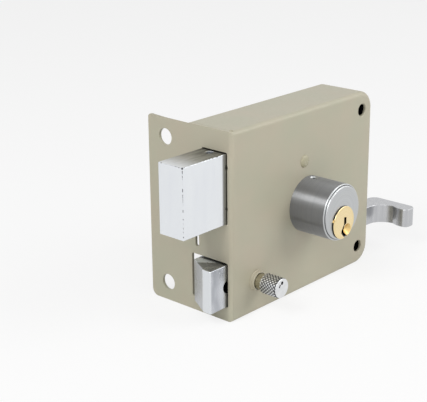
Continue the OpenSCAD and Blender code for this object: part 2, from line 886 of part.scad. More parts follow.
// Tail plate with a slot for the guide post, a notch for the crank and two detent notches
module bolt_tail() {
    slot_w = post_d + 2 * slide_gap;
    color(STEEL)
        difference() {
            plate_y(tail_y, tail_y1)
                difference() {
                    union() {
                        translate([bolt_in - tail_grip + seat_gap, tail_z])
                            square([tail_x1 - bolt_in + tail_grip - seat_gap, tail_z1 - tail_z]);
                        translate([talon_x - lug_w / 2, lug_z])
                            square([lug_w, tail_z - lug_z + EPS]);
                    }
                    translate([talon_x - talon_w / 2, lug_z - EPS])
                        square([talon_w, talon_z1 - lug_z + EPS]);
                    slot_2d(post_x - bolt_throw, post_x, post_z, slot_w);
                    for (x = [nose_x, nose_x - bolt_throw])
                        translate([x, tail_z1])
                            polygon([[-notch_w / 2, 0], [0, -notch_h], [notch_w / 2, 0], [0, EPS]]);
                }
            at_bolt_rivets()
                rod_y(0, 0, tail_y - EPS, tail_y1 + EPS, bolt_rivet_d / 2 + seat_gap);
        }
}

module bolt_rivets() {
    color(STEEL)
        at_bolt_rivets()
            rod_y(0, 0, bolt_y, bolt_y + bolt_t, bolt_rivet_d / 2);
}

module saw_pin() {
    color(STEEL)
        rod_z(-saw_pin_x, bolt_y + bolt_t / 2, bolt_z + pin_recess, bolt_z + bolt_h - pin_recess,
              saw_pin_d / 2);
}

// Stepped keyway, open at the plug's underside, drawn about the plug's axis
module keyway_2d() {
    left = 0.4;
    right = left + keyway_w;
    top = keyway_h - plug_head_d / 2;
    low = -plug_head_d / 2 - EPS;
    polygon([
        [left, top], [right, top], [right, -1.3], [0.3, -2.2], [1.1, -3.6], [1.1, -5], [2.3, low],
        [0.9, low], [-1.7, -4.9], [-1.7, -3.4], [-0.5, -2], [left, -1]
    ]);
}

// Plug with its head, a square tang for the cam and a slot for the outside tailpiece
module key_plug() {
    half = tang_w / 2;
    color(BRASS)
        difference() {
            union() {
                rod_y(cyl_x, plug_z, -cyl_out - plug_proud, plug_seat - cyl_out, plug_head_d / 2);
                rod_y(cyl_x, plug_z, -cyl_out, hub_y, plug_d / 2);
                block([cyl_x - half, 0, plug_z - half], [cyl_x + half, tang_y1, plug_z + half]);
            }
            translate([cyl_x, 0, plug_z])
                plate_y(-cyl_out - plug_proud - EPS, key_depth - cyl_out)
                    keyway_2d();
            at_pins()
                rod_z(0, 0, plug_top - key_pin_l - 2 * shear_gap, plug_top + EPS, chamber_r);
            difference() {
                rod_y(cyl_x, plug_z, hub_y1, clip_y1 + seat_gap, tang_w);
                rod_y(cyl_x, plug_z, hub_y1 - EPS, clip_y1 + EPS, half - clip_groove);
            }
            block([cyl_x - tailpiece_slot_w / 2, tang_y1 - tailpiece_slot_l, plug_z - tang_w],
                  [cyl_x + tailpiece_slot_w / 2, tang_y1 + EPS, plug_z + tang_w]);
        }
}

module key_pins() {
    color(BRASS)
        at_pins()
            rod_z(0, 0, plug_top - shear_gap - key_pin_l, plug_top - shear_gap, pin_d / 2);
}

// Arm with a round end, turned clockwise from upright as seen from the front
module arm_2d(turn, reach, w) {
    rotate(-turn) {
        translate([-w / 2, 0])
            square([w, reach]);
        translate([0, reach])
            circle(d = w);
    }
}

// Hub with the crank that throws the bolt and the finger that draws the latch
module drive_cam() {
    start = -key_arc / 2;
    color("#C9B27A")
        difference() {
            union() {
                rod_y(cyl_x, plug_z, hub_y, hub_y1, hub_d / 2);
                translate([cyl_x, 0, plug_z]) {
                    plate_y(hub_y, crank_y1)
                        arm_2d(start, crank_r, crank_w);
                    plate_y(retractor_y, retractor_y1)
                        arm_2d(finger_end - key_arc, finger_r, finger_w);
                    rod_y(crank_r * sin(start), crank_r * cos(start), hub_y, tail_y1 - slide_gap,
                          crank_pin_d / 2);
                }
            }
            block([cyl_x - tang_w / 2 - seat_gap, hub_y - EPS, plug_z - tang_w / 2 - seat_gap],
                  [cyl_x + tang_w / 2 + seat_gap, hub_y1 + EPS, plug_z + tang_w / 2 + seat_gap]);
        }
}

module cam_clip() {
    color(SPRING)
        difference() {
            rod_y(cyl_x, plug_z, hub_y1 + seat_gap, clip_y1, tang_w / 2 + clip_wall);
            rod_y(cyl_x, plug_z, hub_y1 - EPS, clip_y1 + EPS, tang_w / 2 - clip_groove + seat_gap);
            block([cyl_x - ring_split, hub_y1 - EPS, plug_z - tang_w],
                  [cyl_x + ring_split, clip_y1 + EPS, plug_z]);
        }
}

// Latch block with its bevel towards the door and the holes of the hold-back stem
module latch_head() {
    pin_x = latch_in - pin_in;
    color(BRIGHT)
        difference() {
            translate([0, 0, latch_z])
                linear_extrude(latch_h)
                    polygon([
                        [-latch_out, latch_y], [latch_in, latch_y], [latch_in, latch_y + latch_t],
                        [-latch_shoulder, latch_y + latch_t], [-latch_out, latch_y + latch_nose]
                    ]);
            plate_y(latch_y - EPS, latch_y + stem_hole_l) {
                slot_2d(stem_hole_x, holdback_x, knob_z, stem_hole_d);
                translate([knob_x, knob_z])
                    circle(d = stem_hole_d);
            }
            block([latch_in - bar_grip, bar_y - seat_gap, lever_z - bar_h / 2 - seat_gap],
                  [latch_in + EPS, bar_y1 + seat_gap, lever_z + bar_h / 2 + seat_gap]);
            rod_z(pin_x, bar_mid_y, latch_z - EPS, latch_z + latch_h + EPS, cross_pin_d / 2 + seat_gap);
        }
}

// Steel bar from the latch to the pull lever
module latch_bar() {
    color(STEEL)
        difference() {
            block([latch_in - bar_grip + seat_gap, bar_y, lever_z - bar_h / 2],
                  [lever_x + bar_grip - seat_gap, bar_y1, lever_z + bar_h / 2]);
            for (x = [latch_in - pin_in, lever_x + pin_in])
                rod_z(x, bar_mid_y, lever_z - bar_h, lever_z + bar_h, cross_pin_d / 2 + seat_gap);
            rod_y(stud_at, lever_z, bar_y - EPS, bar_y1 + EPS, stud_d / 2 + seat_gap);
        }
}

module latch_cross_pin() {
    color(STEEL)
        rod_z(latch_in - pin_in, bar_mid_y, latch_z, latch_z + latch_h, cross_pin_d / 2);
}

// Plan of the lever: an arm out of the case and a grip bent towards the room
module lever_2d() {
    grip_x = lever_x1 - grip_t;
    grip_y = -grip_out;
    translate([lever_x, lever_y])
        square([lever_x1 - elbow_r - lever_x, lever_t]);
    translate([grip_x, grip_y + grip_tip_r])
        square([grip_t, lever_y1 - elbow_r - grip_y - grip_tip_r]);
    translate([lever_x1 - elbow_r, lever_y1 - elbow_r])
        circle(elbow_r);
    translate([grip_x + grip_tip_r, grip_y])
        square([grip_t - 2 * grip_tip_r, 2 * grip_tip_r]);
    for (x = [grip_x + grip_tip_r, lever_x1 - grip_tip_r])
        translate([x, grip_y + grip_tip_r])
            circle(grip_tip_r);
    translate([grip_x - elbow_fillet_r, lever_y - elbow_fillet_r])
        difference() {
            square(elbow_fillet_r + elbow_r / 2);
            circle(elbow_fillet_r);
        }
}

module pull_lever() {
    color(SATIN)
        difference() {
            translate([0, 0, lever_z0])
                linear_extrude(lever_h)
                    lever_2d();
            block([lever_x - EPS, bar_y - seat_gap, lever_z - bar_h / 2 - seat_gap],
                  [lever_x + bar_grip, bar_y1 + seat_gap, lever_z + bar_h / 2 + seat_gap]);
            rod_z(lever_x + pin_in, bar_mid_y, lever_z0 - EPS, lever_z0 + lever_h + EPS,
                  cross_pin_d / 2 + seat_gap);
        }
}

module lever_cross_pin() {
    color(STEEL)
        rod_z(lever_x + pin_in, bar_mid_y, lever_z0, lever_z0 + lever_h, cross_pin_d / 2);
}

module retractor_stud() {
    color(STEEL)
        rod_y(stud_at, lever_z, bar_y, retractor_y1 + slide_gap, stud_d / 2);
}

// Bell lever on the guide post: the cam's finger pushes its arm, its fork draws the latch
module retractor() {
    half = retractor_w / 2;
    arm_low = lever_z + retractor_arm_rise;
    color(STEEL)
        difference() {
            plate_y(retractor_y, retractor_y1)
                difference() {
                    union() {
                        translate([post_x, post_z])
                            circle(post_r + retractor_hub_wall);
                        translate([post_x, post_z - half])
                            square([retractor_x + retractor_w - post_x, retractor_w]);
                        translate([retractor_x, arm_low])
                            square([retractor_w, post_z - arm_low]);
                        translate([post_x, post_z])
                            rotate(fork_a)
                                translate([-fork_w / 2 - fork_side, -fork_r1 - stud_d])
                                    square([fork_w + 2 * fork_side, fork_r1 - fork_r + stud_d + fork_root]);
                    }
                    translate([post_x, post_z])
                        rotate(fork_a) {
                            translate([-fork_w / 2, -fork_r1 - 3 * stud_d])
                                square([fork_w, fork_r1 - fork_r + 3 * stud_d]);
                            translate([0, -fork_r])
                                circle(d = fork_w);
                        }
                }
            rod_y(post_x, post_z, retractor_y - EPS, retractor_y1 + EPS, post_r + turn_gap);
        }
}

// Knob with its neck and stem, turned in one piece; the neck has a groove for each position
module holdback_knob() {
    r = knob_d / 2;
    end_r = r - knob_chamfer;
    color(STEEL)
        difference() {
            union() {
                translate([knob_x, knob_y, knob_z])
                    rotate([-90, 0, 0])
                        rotate_extrude()
                            polygon([
                                [0, 0], [end_r, 0], [r, knob_chamfer],
                                [r, knob_l - knob_chamfer], [end_r, knob_l], [0, knob_l]
                            ]);
                rod_y(knob_x, knob_z, knob_y1 - EPS, neck_end, neck_d / 2);
                rod_y(knob_x, knob_z, knob_y1, stem_y1, stem_d / 2);
            }
            for (back = [0, knob_travel])
                translate([0, -back, 0])
                    difference() {
                        rod_y(knob_x, knob_z, ring_y - seat_gap, ring_y + ring_t + seat_gap, neck_d);
                        rod_y(knob_x, knob_z, ring_y - EPS, ring_y + ring_t + EPS, ring_r - seat_gap);
                    }
        }
}

seat() case_shell();
seat() back_plate();
seat() back_plate_screws();
seat() spacer_tubes();
seat() guide_post();
seat() latch_guide();
seat() latch_spring();
seat() detent_block();
seat() detent_spring();
seat() cylinder_sleeve();
seat() cylinder_core();
seat() cylinder_screws();
seat() set_screw();
seat() driver_pins();
seat() pin_springs();
seat() knob_bush();
seat() snap_ring();
seat() bolt_head();
seat() bolt_tail();
seat() bolt_rivets();
seat() saw_pin();
seat() key_plug();
seat() key_pins();
seat() drive_cam();
seat() cam_clip();
seat() latch_head();
seat() latch_bar();
seat() latch_cross_pin();
seat() pull_lever();
seat() lever_cross_pin();
seat() retractor_stud();
seat() retractor();
seat() holdback_knob();
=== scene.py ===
"""Looks of a rim box lock: its finishes and its visible pieces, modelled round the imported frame.

Pieces are shaped in millimetres from the case's own corner: X runs from the forend's outer face
along the case, Y from the front face towards the door and Z up from the bottom.
"""

import logging
import math
import random
from collections.abc import Callable, Sequence
from dataclasses import dataclass
from enum import Enum

import bmesh
import bpy
from mathutils import Matrix, Vector


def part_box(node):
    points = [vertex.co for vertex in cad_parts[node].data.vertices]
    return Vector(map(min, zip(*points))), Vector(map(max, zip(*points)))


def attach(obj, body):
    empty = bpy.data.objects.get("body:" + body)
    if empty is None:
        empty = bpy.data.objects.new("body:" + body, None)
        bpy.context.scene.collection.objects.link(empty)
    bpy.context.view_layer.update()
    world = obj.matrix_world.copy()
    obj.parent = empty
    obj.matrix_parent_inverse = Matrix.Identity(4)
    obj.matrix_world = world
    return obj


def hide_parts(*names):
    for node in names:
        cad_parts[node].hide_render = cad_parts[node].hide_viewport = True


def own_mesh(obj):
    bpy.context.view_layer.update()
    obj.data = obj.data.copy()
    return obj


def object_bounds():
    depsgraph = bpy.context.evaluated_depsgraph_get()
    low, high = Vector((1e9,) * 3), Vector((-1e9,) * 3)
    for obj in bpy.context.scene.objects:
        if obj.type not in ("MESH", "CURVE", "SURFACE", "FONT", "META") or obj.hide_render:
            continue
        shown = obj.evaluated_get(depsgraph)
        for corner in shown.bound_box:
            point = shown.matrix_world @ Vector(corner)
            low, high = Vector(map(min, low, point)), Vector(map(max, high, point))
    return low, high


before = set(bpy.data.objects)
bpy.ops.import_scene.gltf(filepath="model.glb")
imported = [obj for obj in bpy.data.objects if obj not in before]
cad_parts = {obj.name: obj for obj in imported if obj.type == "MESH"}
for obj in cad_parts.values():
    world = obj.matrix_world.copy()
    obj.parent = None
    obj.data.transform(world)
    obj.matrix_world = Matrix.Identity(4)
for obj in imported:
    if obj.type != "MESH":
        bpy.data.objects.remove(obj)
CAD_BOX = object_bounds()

LOG = logging.getLogger("rim_box_lock")

MM = 0.001
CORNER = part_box("case_shell")[0]
TO_ROW = Matrix.Translation(CORNER) @ Matrix.Scale(MM, 4)
# Millimetres: points that meet, measures that agree, and how far a cutter sticks out.
MERGE = 0.001
TINY = 0.01
OVERCUT = 1.0
# Wear, or a light patch, that a finish lacks is set this far off.
NOWHERE_MM = 99.0
# A face looks along an axis above the first share of its normal, and stands along it below the second.
FACING = 0.9
SIDEWAYS = 0.1
# Shading stays smooth below the first angle between faces, and carving merges faces below the second.
SHARP_ANGLE = math.radians(38)
FLAT_ANGLE = math.radians(0.2)
# The finishes that a piece has room for.
COATS = 3
# A mix node's sockets for colours: two in and one out.
MIX_A, MIX_B, MIX_OUT = 6, 7, 2
# The sRGB curve: a straight foot, then a power.
SRGB_FOOT, SRGB_SLOPE, SRGB_LIFT, SRGB_POWER = 0.04045, 12.92, 0.055, 2.4

X_AXIS = Vector((1, 0, 0))
Y_AXIS = Vector((0, 1, 0))
Z_AXIS = Vector((0, 0, 1))

Tree = bpy.types.NodeTree
Socket = bpy.types.NodeSocket
Point = Sequence[float]
Span = tuple[float, float]
Spot = tuple[float, float, float]
Patterns = tuple[Socket, Socket, Socket, float]


class Body(Enum):
    """The bodies that pieces ride on."""

    CASE = "case"
    BOLT = "dead_bolt"
    PLUG = "plug"
    LATCH = "latch"
    KNOB = "holdback"


class Grain(Enum):
    """The way that a tool has left its marks on a metal."""

    ALONG_X = "along_x"
    ALONG_Z = "along_z"
    TURNED = "turned"


class Rounded(Enum):
    """What a bevel rounds: edges, or the corners of a flat face."""

    EDGES = "EDGES"
    CORNERS = "VERTICES"


def linear(colour: str) -> tuple[float, float, float, float]:
    """Turns an sRGB colour into a linear one.

    Args:
        colour: A hash sign and six hex digits.

    Returns:
        Linear red, green and blue, and an alpha of one.
    """
    parts = [int(colour[i:i + 2], 16) / 255 for i in (1, 3, 5)]
    red, green, blue = [
        c / SRGB_SLOPE if c <= SRGB_FOOT else ((c + SRGB_LIFT) / (1 + SRGB_LIFT)) ** SRGB_POWER
        for c in parts
    ]
    return red, green, blue, 1.0


def per_mm(size: float) -> float:
    """The scale of a texture whose features are this many millimetres wide."""
    return 1 / (size * MM)


def add_node(tree: Tree, kind: str, inputs: dict | None = None, **settings) -> bpy.types.Node:
    """Adds a node with its settings and links.

    Args:
        tree: The node tree to add to.
        kind: The node's type name.
        inputs: Values or output sockets for the node's inputs, by name or number.
        **settings: The node's own properties.

    Returns:
        The new node.
    """
    node = tree.nodes.new(kind)
    for name, value in settings.items():
        setattr(node, name, value)
    for name, value in (inputs or {}).items():
        if isinstance(value, Socket):
            tree.links.new(value, node.inputs[name])
        else:
            node.inputs[name].default_value = value
    return node


def add_object(name: str, data: bpy.types.ID) -> bpy.types.Object:
    """Puts a new object in the scene.

    Args:
        name: The object's name.
        data: Its mesh, lamp or camera.

    Returns:
        The object.
    """
    made = bpy.data.objects.new(name, data)
    bpy.context.scene.collection.objects.link(made)
    return made


def node_box(node: str) -> tuple[Vector, Vector]:
    """A CAD node's lowest and highest corners, in millimetres from the case's corner."""
    low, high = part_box(node)
    return (low - CORNER) / MM, (high - CORNER) / MM


def node_axis(node: str) -> Vector:
    """The point where a round CAD node's axis meets the front face."""
    low, high = node_box(node)
    return Vector(((low.x + high.x) / 2, 0, (low.z + high.z) / 2))


def arc(centre: Point, radius: float, start: float, end: float, steps: int) -> list[Span]:
    """Points of a round stretch in a plane.

    Args:
        centre: The arc's centre.
        radius: Its radius.
        start: Angle of the first point, in degrees.
        end: Angle of the last point, in degrees.
        steps: Number of straight parts.

    Returns:
        The points, both ends included.
    """
    angles = [math.radians(start + (end - start) * i / steps) for i in range(steps + 1)]
    return [(centre[0] + radius * math.cos(a), centre[1] + radius * math.sin(a)) for a in angles]


@dataclass(frozen=True)
class Finish:
    """One real material as the eye meets it, with the record's slot that it belongs to.

    Its tone wanders from the colour to the shade, and its roughness goes up and down by the spread.
    """

    name: str
    slot: str
    colour: str
    shade: str
    roughness: float
    spread: float = 0.05
    metallic: float = 1.0
    tone_span: Span = (0.3, 0.7)
    gloss_span: Span = (0.3, 0.7)

    def material(self) -> bpy.types.Material:
        """The finish as a node material, made once.

        Returns:
            The material, new or made before.
        """
        made = bpy.data.materials.get(self.name)
        if made is None:
            made = bpy.data.materials.new(self.name)
            made.use_nodes = True
            self.dress(made.node_tree)
        return made

    def patterns(self, tree: Tree, place: Socket) -> Patterns:
        """What varies over the surface; every kind of finish has its own.

        Args:
            tree: The material's node tree.
            place: Object coordinates.

        Returns:
            The patterns of tone, gloss and height, and the height's depth in millimetres.
        """
        raise NotImplementedError

    def tint(self, tree: Tree, place: Socket, colour: Socket) -> Socket:
        """The colour as it was made; a finish with wear or dirt lays it on here."""
        return colour

    def dress(self, tree: Tree) -> None:
        """Links the patterns to the shader's colour, roughness and normal.

        Args:
            tree: The material's node tree.
        """
        shader = tree.nodes["Principled BSDF"].inputs
        shader["Metallic"].default_value = self.metallic
        place = add_node(tree, "ShaderNodeTexCoord").outputs["Object"]
        tone, gloss, height, depth_mm = self.patterns(tree, place)
        rough_span = (self.roughness - self.spread, self.roughness + self.spread)
        share, rough = [
            add_node(tree, "ShaderNodeMapRange", dict(enumerate(ramp))).outputs[0]
            for ramp in ((tone, *self.tone_span, 0.0, 1.0), (gloss, *self.gloss_span, *rough_span))
        ]
        tones = {0: share, MIX_A: linear(self.colour), MIX_B: linear(self.shade)}
        colour = add_node(tree, "ShaderNodeMix", tones, data_type="RGBA").outputs[MIX_OUT]
        relief = {"Height": height, "Strength": 1.0, "Distance": depth_mm * MM}
        slope = add_node(tree, "ShaderNodeBump", relief).outputs[0]
        tree.links.new(self.tint(tree, place, colour), shader["Base Color"])
        tree.links.new(rough, shader["Roughness"])
        tree.links.new(slope, shader["Normal"])


@dataclass(frozen=True, kw_only=True)
class Mottled(Finish):
    """A coat whose tone shifts in soft patches over a faintly uneven surface."""

    patch_mm: float
    patch_detail: float
    relief_mm: float
    relief_depth_mm: float
    relief_detail: float = 1.0
    glossy_relief: bool = False

    def patterns(self, tree: Tree, place: Socket) -> Patterns:
        """Patches for tone, unevenness for height, and one of the two for gloss.

        Args:
            tree: The material's node tree.
            place: Object coordinates.

        Returns:
            The patterns of tone, gloss and height, and the height's depth in millimetres.
        """
        looks = [
            {"Vector": place, "Scale": per_mm(size), "Detail": detail}
            for size, detail in ((self.patch_mm, self.patch_detail), (self.relief_mm, self.relief_detail))
        ]
        patch, relief = [add_node(tree, "ShaderNodeTexNoise", look).outputs[0] for look in looks]
        return patch, relief if self.glossy_relief else patch, relief, self.relief_depth_mm


@dataclass(frozen=True, kw_only=True)
class Enamel(Mottled):
    """Stoved enamel sprayed on steel: satin, with a faint orange peel and slow shifts of tone."""

    spread: float = 0.04
    metallic: float = 0.0
    gloss_span: Span = (0.25, 0.75)
    patch_mm: float = 22.0
    patch_detail: float = 3.0
    relief_mm: float = 1.3
    relief_depth_mm: float = 0.006
    glossy_relief: bool = True


@dataclass(frozen=True, kw_only=True)
class PlatedMetal(Mottled):
    """Plated metal off a tumbling drum: soft ripples and small blotches."""

    tone_span: Span = (0.35, 0.7)
    patch_mm: float = 3.0
    patch_detail: float = 5.0
    relief_mm: float = 7.0
    relief_depth_mm: float = 0.02


@dataclass(frozen=True, kw_only=True)
class WorkedMetal(Finish):
    """Metal that a tool has left fine parallel marks on, straight or round an axis."""

    grain: Grain
    grain_mm: float = 0.35
    run_mm: float = 14.0
    detail: float = 2.0
    depth_mm: float = 0.002
    smear: float = 0.0
    axis: Span = (0.0, 0.0)

    def round_axis(self, tree: Tree, place: Socket) -> Socket:
        """Distances from the axis and along it, so that a pattern there lies in rings.

        Args:
            tree: The material's node tree.
            place: Object coordinates.

        Returns:
            The two distances as a vector's first parts.
        """
        centre = (-self.axis[0], 0.0, -self.axis[1])
        shifted = add_node(tree, "ShaderNodeVectorMath", {0: place, 1: centre}, operation="ADD")
        parts = add_node(tree, "ShaderNodeSeparateXYZ", {0: shifted.outputs[0]}).outputs
        flat = add_node(tree, "ShaderNodeCombineXYZ", {0: parts[0], 2: parts[2]})
        reach = add_node(tree, "ShaderNodeVectorMath", {0: flat.outputs[0]}, operation="LENGTH")
        return add_node(tree, "ShaderNodeCombineXYZ", {0: reach.outputs["Value"], 1: parts[1]}).outputs[0]

    def patterns(self, tree: Tree, place: Socket) -> Patterns:
        """Noise drawn out along the marks, for tone, gloss and height alike.

        Args:
            tree: The material's node tree.
            place: Object coordinates.

        Returns:
            The noise three times, and the marks' depth in millimetres.
        """
        fine, slow = per_mm(self.grain_mm), per_mm(self.run_mm)
        stretch = {
            Grain.ALONG_X: (slow, fine, fine),
            Grain.ALONG_Z: (fine, fine, slow),
            Grain.TURNED: (fine, fine, 1.0),
        }[self.grain]
        if self.grain is Grain.TURNED:
            place = self.round_axis(tree, place)
        drawn = add_node(tree, "ShaderNodeVectorMath", {0: place, 1: stretch}, operation="MULTIPLY")
        look = {"Vector": drawn.outputs[0], "Scale": 1.0, "Detail": self.detail}
        marks = add_node(tree, "ShaderNodeTexNoise", look).outputs[0]
        return marks, marks, marks, self.depth_mm

    def dress(self, tree: Tree) -> None:
        """Dresses the shader, and lets turning marks smear its highlights along the axis.

        Args:
            tree: The material's node tree.
        """
        super().dress(tree)
        if self.smear:
            shader = tree.nodes["Principled BSDF"].inputs
            shader["Anisotropic"].default_value = self.smear
            along = add_node(tree, "ShaderNodeCombineXYZ", {"Y": 1.0})
            tree.links.new(along.outputs[0], shader["Tangent"])


@dataclass(frozen=True, kw_only=True)
class SlidingNickel(WorkedMetal):
    """Nickel plate on a bolt: painted shade and reflection darken it by the forend and on top, its bevel is
    painted darker as shade, its nose is rubbed bright, and its top perhaps has a lighter patch.

    Lengths count from the forend outwards, but the light patch's from the case's corner along a slant. A
    mark that a bolt lacks is set nowhere.
    """

    # Painted shade: faces that turn towards the door take this darker tone.
    bevel: str = "#B2B4B7"
    bevel_span: Span = (0.2, 0.4)
    rubbed: str = "#DDE0E3"
    rubbed_mm: float = NOWHERE_MM
    rubbed_edge_mm: float = 0.4
    # A lighter patch on the top's back corner, where the dark painted tone is left off.
    light_patch: str = "#EAF0FC"
    light_patch_mm: float = NOWHERE_MM
    light_patch_edge_mm: float = 1.0
    light_patch_slant: float = 1.35
    # Painted shade and painted reflection of the forend: a dark tone on top that deepens towards the forend,
    # and a dark strip on every face along it.
    painted_shade: str = "#565759"
    painted_shade_mm: float = 27.0
    painted_shade_share: float = 0.75
    top_span: Span = (0.6, 0.95)
    streak_mm: Span = (9.0, 1.4)
    streak_detail: float = 3.0
    streak_span: Span = (0.35, 0.65)
    streak_shares: Span = (0.75, 1.25)
    line_mm: float = 2.8
    line_fade: float = 0.7
    line_share: float = 0.62

    def tint(self, tree: Tree, place: Socket, colour: Socket) -> Socket:
        """Lays the bevel's painted shade, the rubbed nose, the light patch and the dark painted shade on the
        plate.

        Args:
            tree: The material's node tree.
            place: Object coordinates.
            colour: The plain plate's colour.

        Returns:
            The finished colour.
        """
        normal = add_node(tree, "ShaderNodeNewGeometry").outputs["Normal"]
        facing = add_node(tree, "ShaderNodeSeparateXYZ", {0: normal}).outputs
        spot = add_node(tree, "ShaderNodeSeparateXYZ", {0: place}).outputs[0]
        slant = Vector((self.light_patch_slant, 1.0, 0.0))
        side = add_node(tree, "ShaderNodeVectorMath", {0: place, 1: slant}, operation="DOT_PRODUCT")
        stretch = (*[per_mm(size) for size in self.streak_mm], 0.0)
        drawn = add_node(tree, "ShaderNodeVectorMath", {0: place, 1: stretch}, operation="MULTIPLY")
        look = {"Vector": drawn.outputs[0], "Scale": 1.0, "Detail": self.streak_detail}
        streaks = add_node(tree, "ShaderNodeTexNoise", look).outputs[0]
        forend = CORNER.x
        nose, line = forend - self.rubbed_mm * MM, forend - self.line_mm * MM
        patch_line = slant.dot(CORNER) + self.light_patch_mm * MM
        ramps = {
            "bevel": (facing[1], *self.bevel_span, 0.0, 1.0),
            "nose": (spot, nose, nose - self.rubbed_edge_mm * MM, 0.0, 1.0),
            "top": (facing[2], *self.top_span, 0.0, 1.0),
            "bare": (side.outputs["Value"], patch_line, patch_line + self.light_patch_edge_mm * MM, 0.0, 1.0),
            "top_shade": (spot, forend - self.painted_shade_mm * MM, forend, 0.0, self.painted_shade_share),
            "streaked": (streaks, *self.streak_span, *self.streak_shares),
            "forend_shade": (spot, line, forend - self.line_fade * self.line_mm * MM, 0.0, self.line_share),
        }
        share = {
            name: add_node(tree, "ShaderNodeMapRange", dict(enumerate(ramp))).outputs[0]
            for name, ramp in ramps.items()
        }
        for made, operation, first, second in (
            ("light_patch", "MULTIPLY", "bare", "top"),
            ("top_shade", "MULTIPLY", "top_shade", "top"),
            ("top_shade", "SUBTRACT", "top_shade", "light_patch"),
            ("top_shade", "MULTIPLY", "top_shade", "streaked"),
            ("painted_shade", "MAXIMUM", "top_shade", "forend_shade"),
        ):
            pair = {0: share[first], 1: share[second]}
            blend = add_node(tree, "ShaderNodeMath", pair, operation=operation, use_clamp=True)
            share[made] = blend.outputs[0]
        # The bevel's tone and the dark tone are painted shade, and the dark tone on top is also a painted
        # reflection of the forend. The nose's tone is wear.
        tones = {"bevel": self.bevel, "nose": self.rubbed, "light_patch": self.light_patch, "painted_shade": self.painted_shade}
        for name, tone in tones.items():
            layer = {0: share[name], MIX_A: colour, MIX_B: linear(tone)}
            colour = add_node(tree, "ShaderNodeMix", layer, data_type="RGBA").outputs[MIX_OUT]
        return colour


PLUG_AXIS = (0.0, 0.0)
CYLINDER_AXIS = (0.0, sum(corner.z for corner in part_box("cylinder_sleeve")) / 2)

# Putty-coloured stoved enamel on folded steel: satin and even, drifting from pinkish to greenish grey.
CASE_ENAMEL = Enamel("satin_enamel", "painted_steel", "#B9B19D", "#B3B19C", 0.4)
# The same enamel where it has run together on a rivet: thicker, glossier and a little deeper.
RIVET_ENAMEL = Enamel("pooled_enamel", "painted_steel", "#B0AA90", "#AAA68A", 0.26)
# Nickel plate on a cast brass bolt: almost white, softly blurred, with faint upright polishing marks;
# painted shade and reflection darken its top towards the forend.
BOLT_NICKEL = SlidingNickel(
    "bright_nickel_plate", "bright_nickel", "#E8EBEE", "#E5E8EC", 0.24, spread=0.02,
    grain=Grain.ALONG_Z, grain_mm=4.0, run_mm=22.0, painted_shade_share=0.92,
)
# The same plate on the latch: duller, with its bevel painted darker as shade, a nose that the strike keeps
# bright, a lighter patch at the corner on top, and painted shade on top and by the forend.
LATCH_NICKEL = SlidingNickel(
    "rubbed_nickel_plate", "bright_nickel", "#CED1D6", "#AFB2B8", 0.28, spread=0.03,
    grain=Grain.ALONG_Z, grain_mm=4.5, painted_shade_mm=14.0, light_patch_mm=6.2, line_mm=1.5, rubbed_mm=10.2,
)
# Dark grey paint in the bolt's dents and the latch's stem holes: painted shade in the hollows.
SHADE_IN_HOLLOWS = PlatedMetal("bare_metal_in_nicks", "bright_nickel", "#505255", "#3C3E41", 0.5, patch_mm=0.4)
# Stainless tube off the lathe: grey bands that run along the tube, because the turning marks smear
# every reflection that way. The marks are drawn coarser than real ones, or they wouldn't show.
SLEEVE_STEEL = WorkedMetal(
    "turned_stainless", "satin_stainless", "#919294", "#8A8B8D", 0.42,
    grain=Grain.TURNED, grain_mm=0.3, depth_mm=0.001, smear=0.96, axis=CYLINDER_AXIS,
)
# Satin nickel on the cylinder's face: pale and even, with fine rings. On the sleeve's lip and the set
# screw's countersink it is a painted highlight.
FACE_NICKEL_AND_HIGHLIGHT = WorkedMetal(
    "satin_nickel_face", "satin_nickel", "#C3C5C6", "#BABCBD", 0.36, grain=Grain.TURNED, axis=CYLINDER_AXIS,
)
# Machined brass plug: pale warm yellow, fine facing marks.
PLUG_BRASS = WorkedMetal(
    "machined_brass", "brass", "#F2DFB4", "#EBD4A0", 0.3, grain=Grain.TURNED, axis=PLUG_AXIS,
)
# Brass painted nearly black in the keyway and down the plug's rim: painted shade in the keyway and in the
# gap round the plug.
SHADED_BRASS = PlatedMetal("oil_stained_brass", "brass", "#2B2620", "#1D1A16", 0.5, patch_mm=0.8)
# Brass in the dish at the keyway: a deeper gold, less bright, painted as shade in the hollow.
SHADED_DISH_BRASS = WorkedMetal(
    "key_worn_brass", "brass", "#E2C68C", "#D4B272", 0.42, grain=Grain.TURNED, axis=PLUG_AXIS,
)
# Free-cutting steel, turned, knurled and plated: bright facets.
KNOB_STEEL = PlatedMetal("plated_turned_steel", "turned_steel", "#E4E5E6", "#D8DADB", 0.4)
# The flanks of the knurl and dents in the knob's end, painted dark as shade in the grooves and dents.
KNURL_FLANKS = PlatedMetal("torn_steel_in_knurl", "turned_steel", "#48484A", "#3A3A3C", 0.45, patch_mm=0.5)
# The knob's steel neck: it mirrors the enamel, and its colour is painted darker and beige, as shade under
# the knurl and as the enamel's reflection.
NECK_SHADE_STEEL = PlatedMetal("oiled_steel_neck", "turned_steel", "#BDB8A4", "#A8A38F", 0.28)
# Satin chrome on a die-cast lever: light grey, drawn upright by the polishing belt.
LEVER_CHROME = WorkedMetal(
    "satin_chrome_plate", "satin_chrome", "#C4C5C7", "#B8B9BC", 0.3,
    grain=Grain.ALONG_Z, grain_mm=1.1, run_mm=40.0,
)
# Zinc-plated steel tube painted near black, as shade down the rear holes.
SHADED_TUBE = PlatedMetal("blacked_steel_tube", "zinc_plated_steel", "#2C2C2E", "#1F1F21", 0.45)
# Bright zinc on pressed steel pieces inside the case: pale, with the sheet's rolling marks.
ZINC = WorkedMetal("bright_zinc_plate", "zinc_plated_steel", "#B9BCC0", "#A7ABB0", 0.36, grain=Grain.ALONG_X)
# Hardened spring steel, drawn and oiled: dark grey.
SPRING = WorkedMetal("oiled_spring_steel", "spring_steel", "#84888C", "#6F7377", 0.34, grain=Grain.ALONG_X)


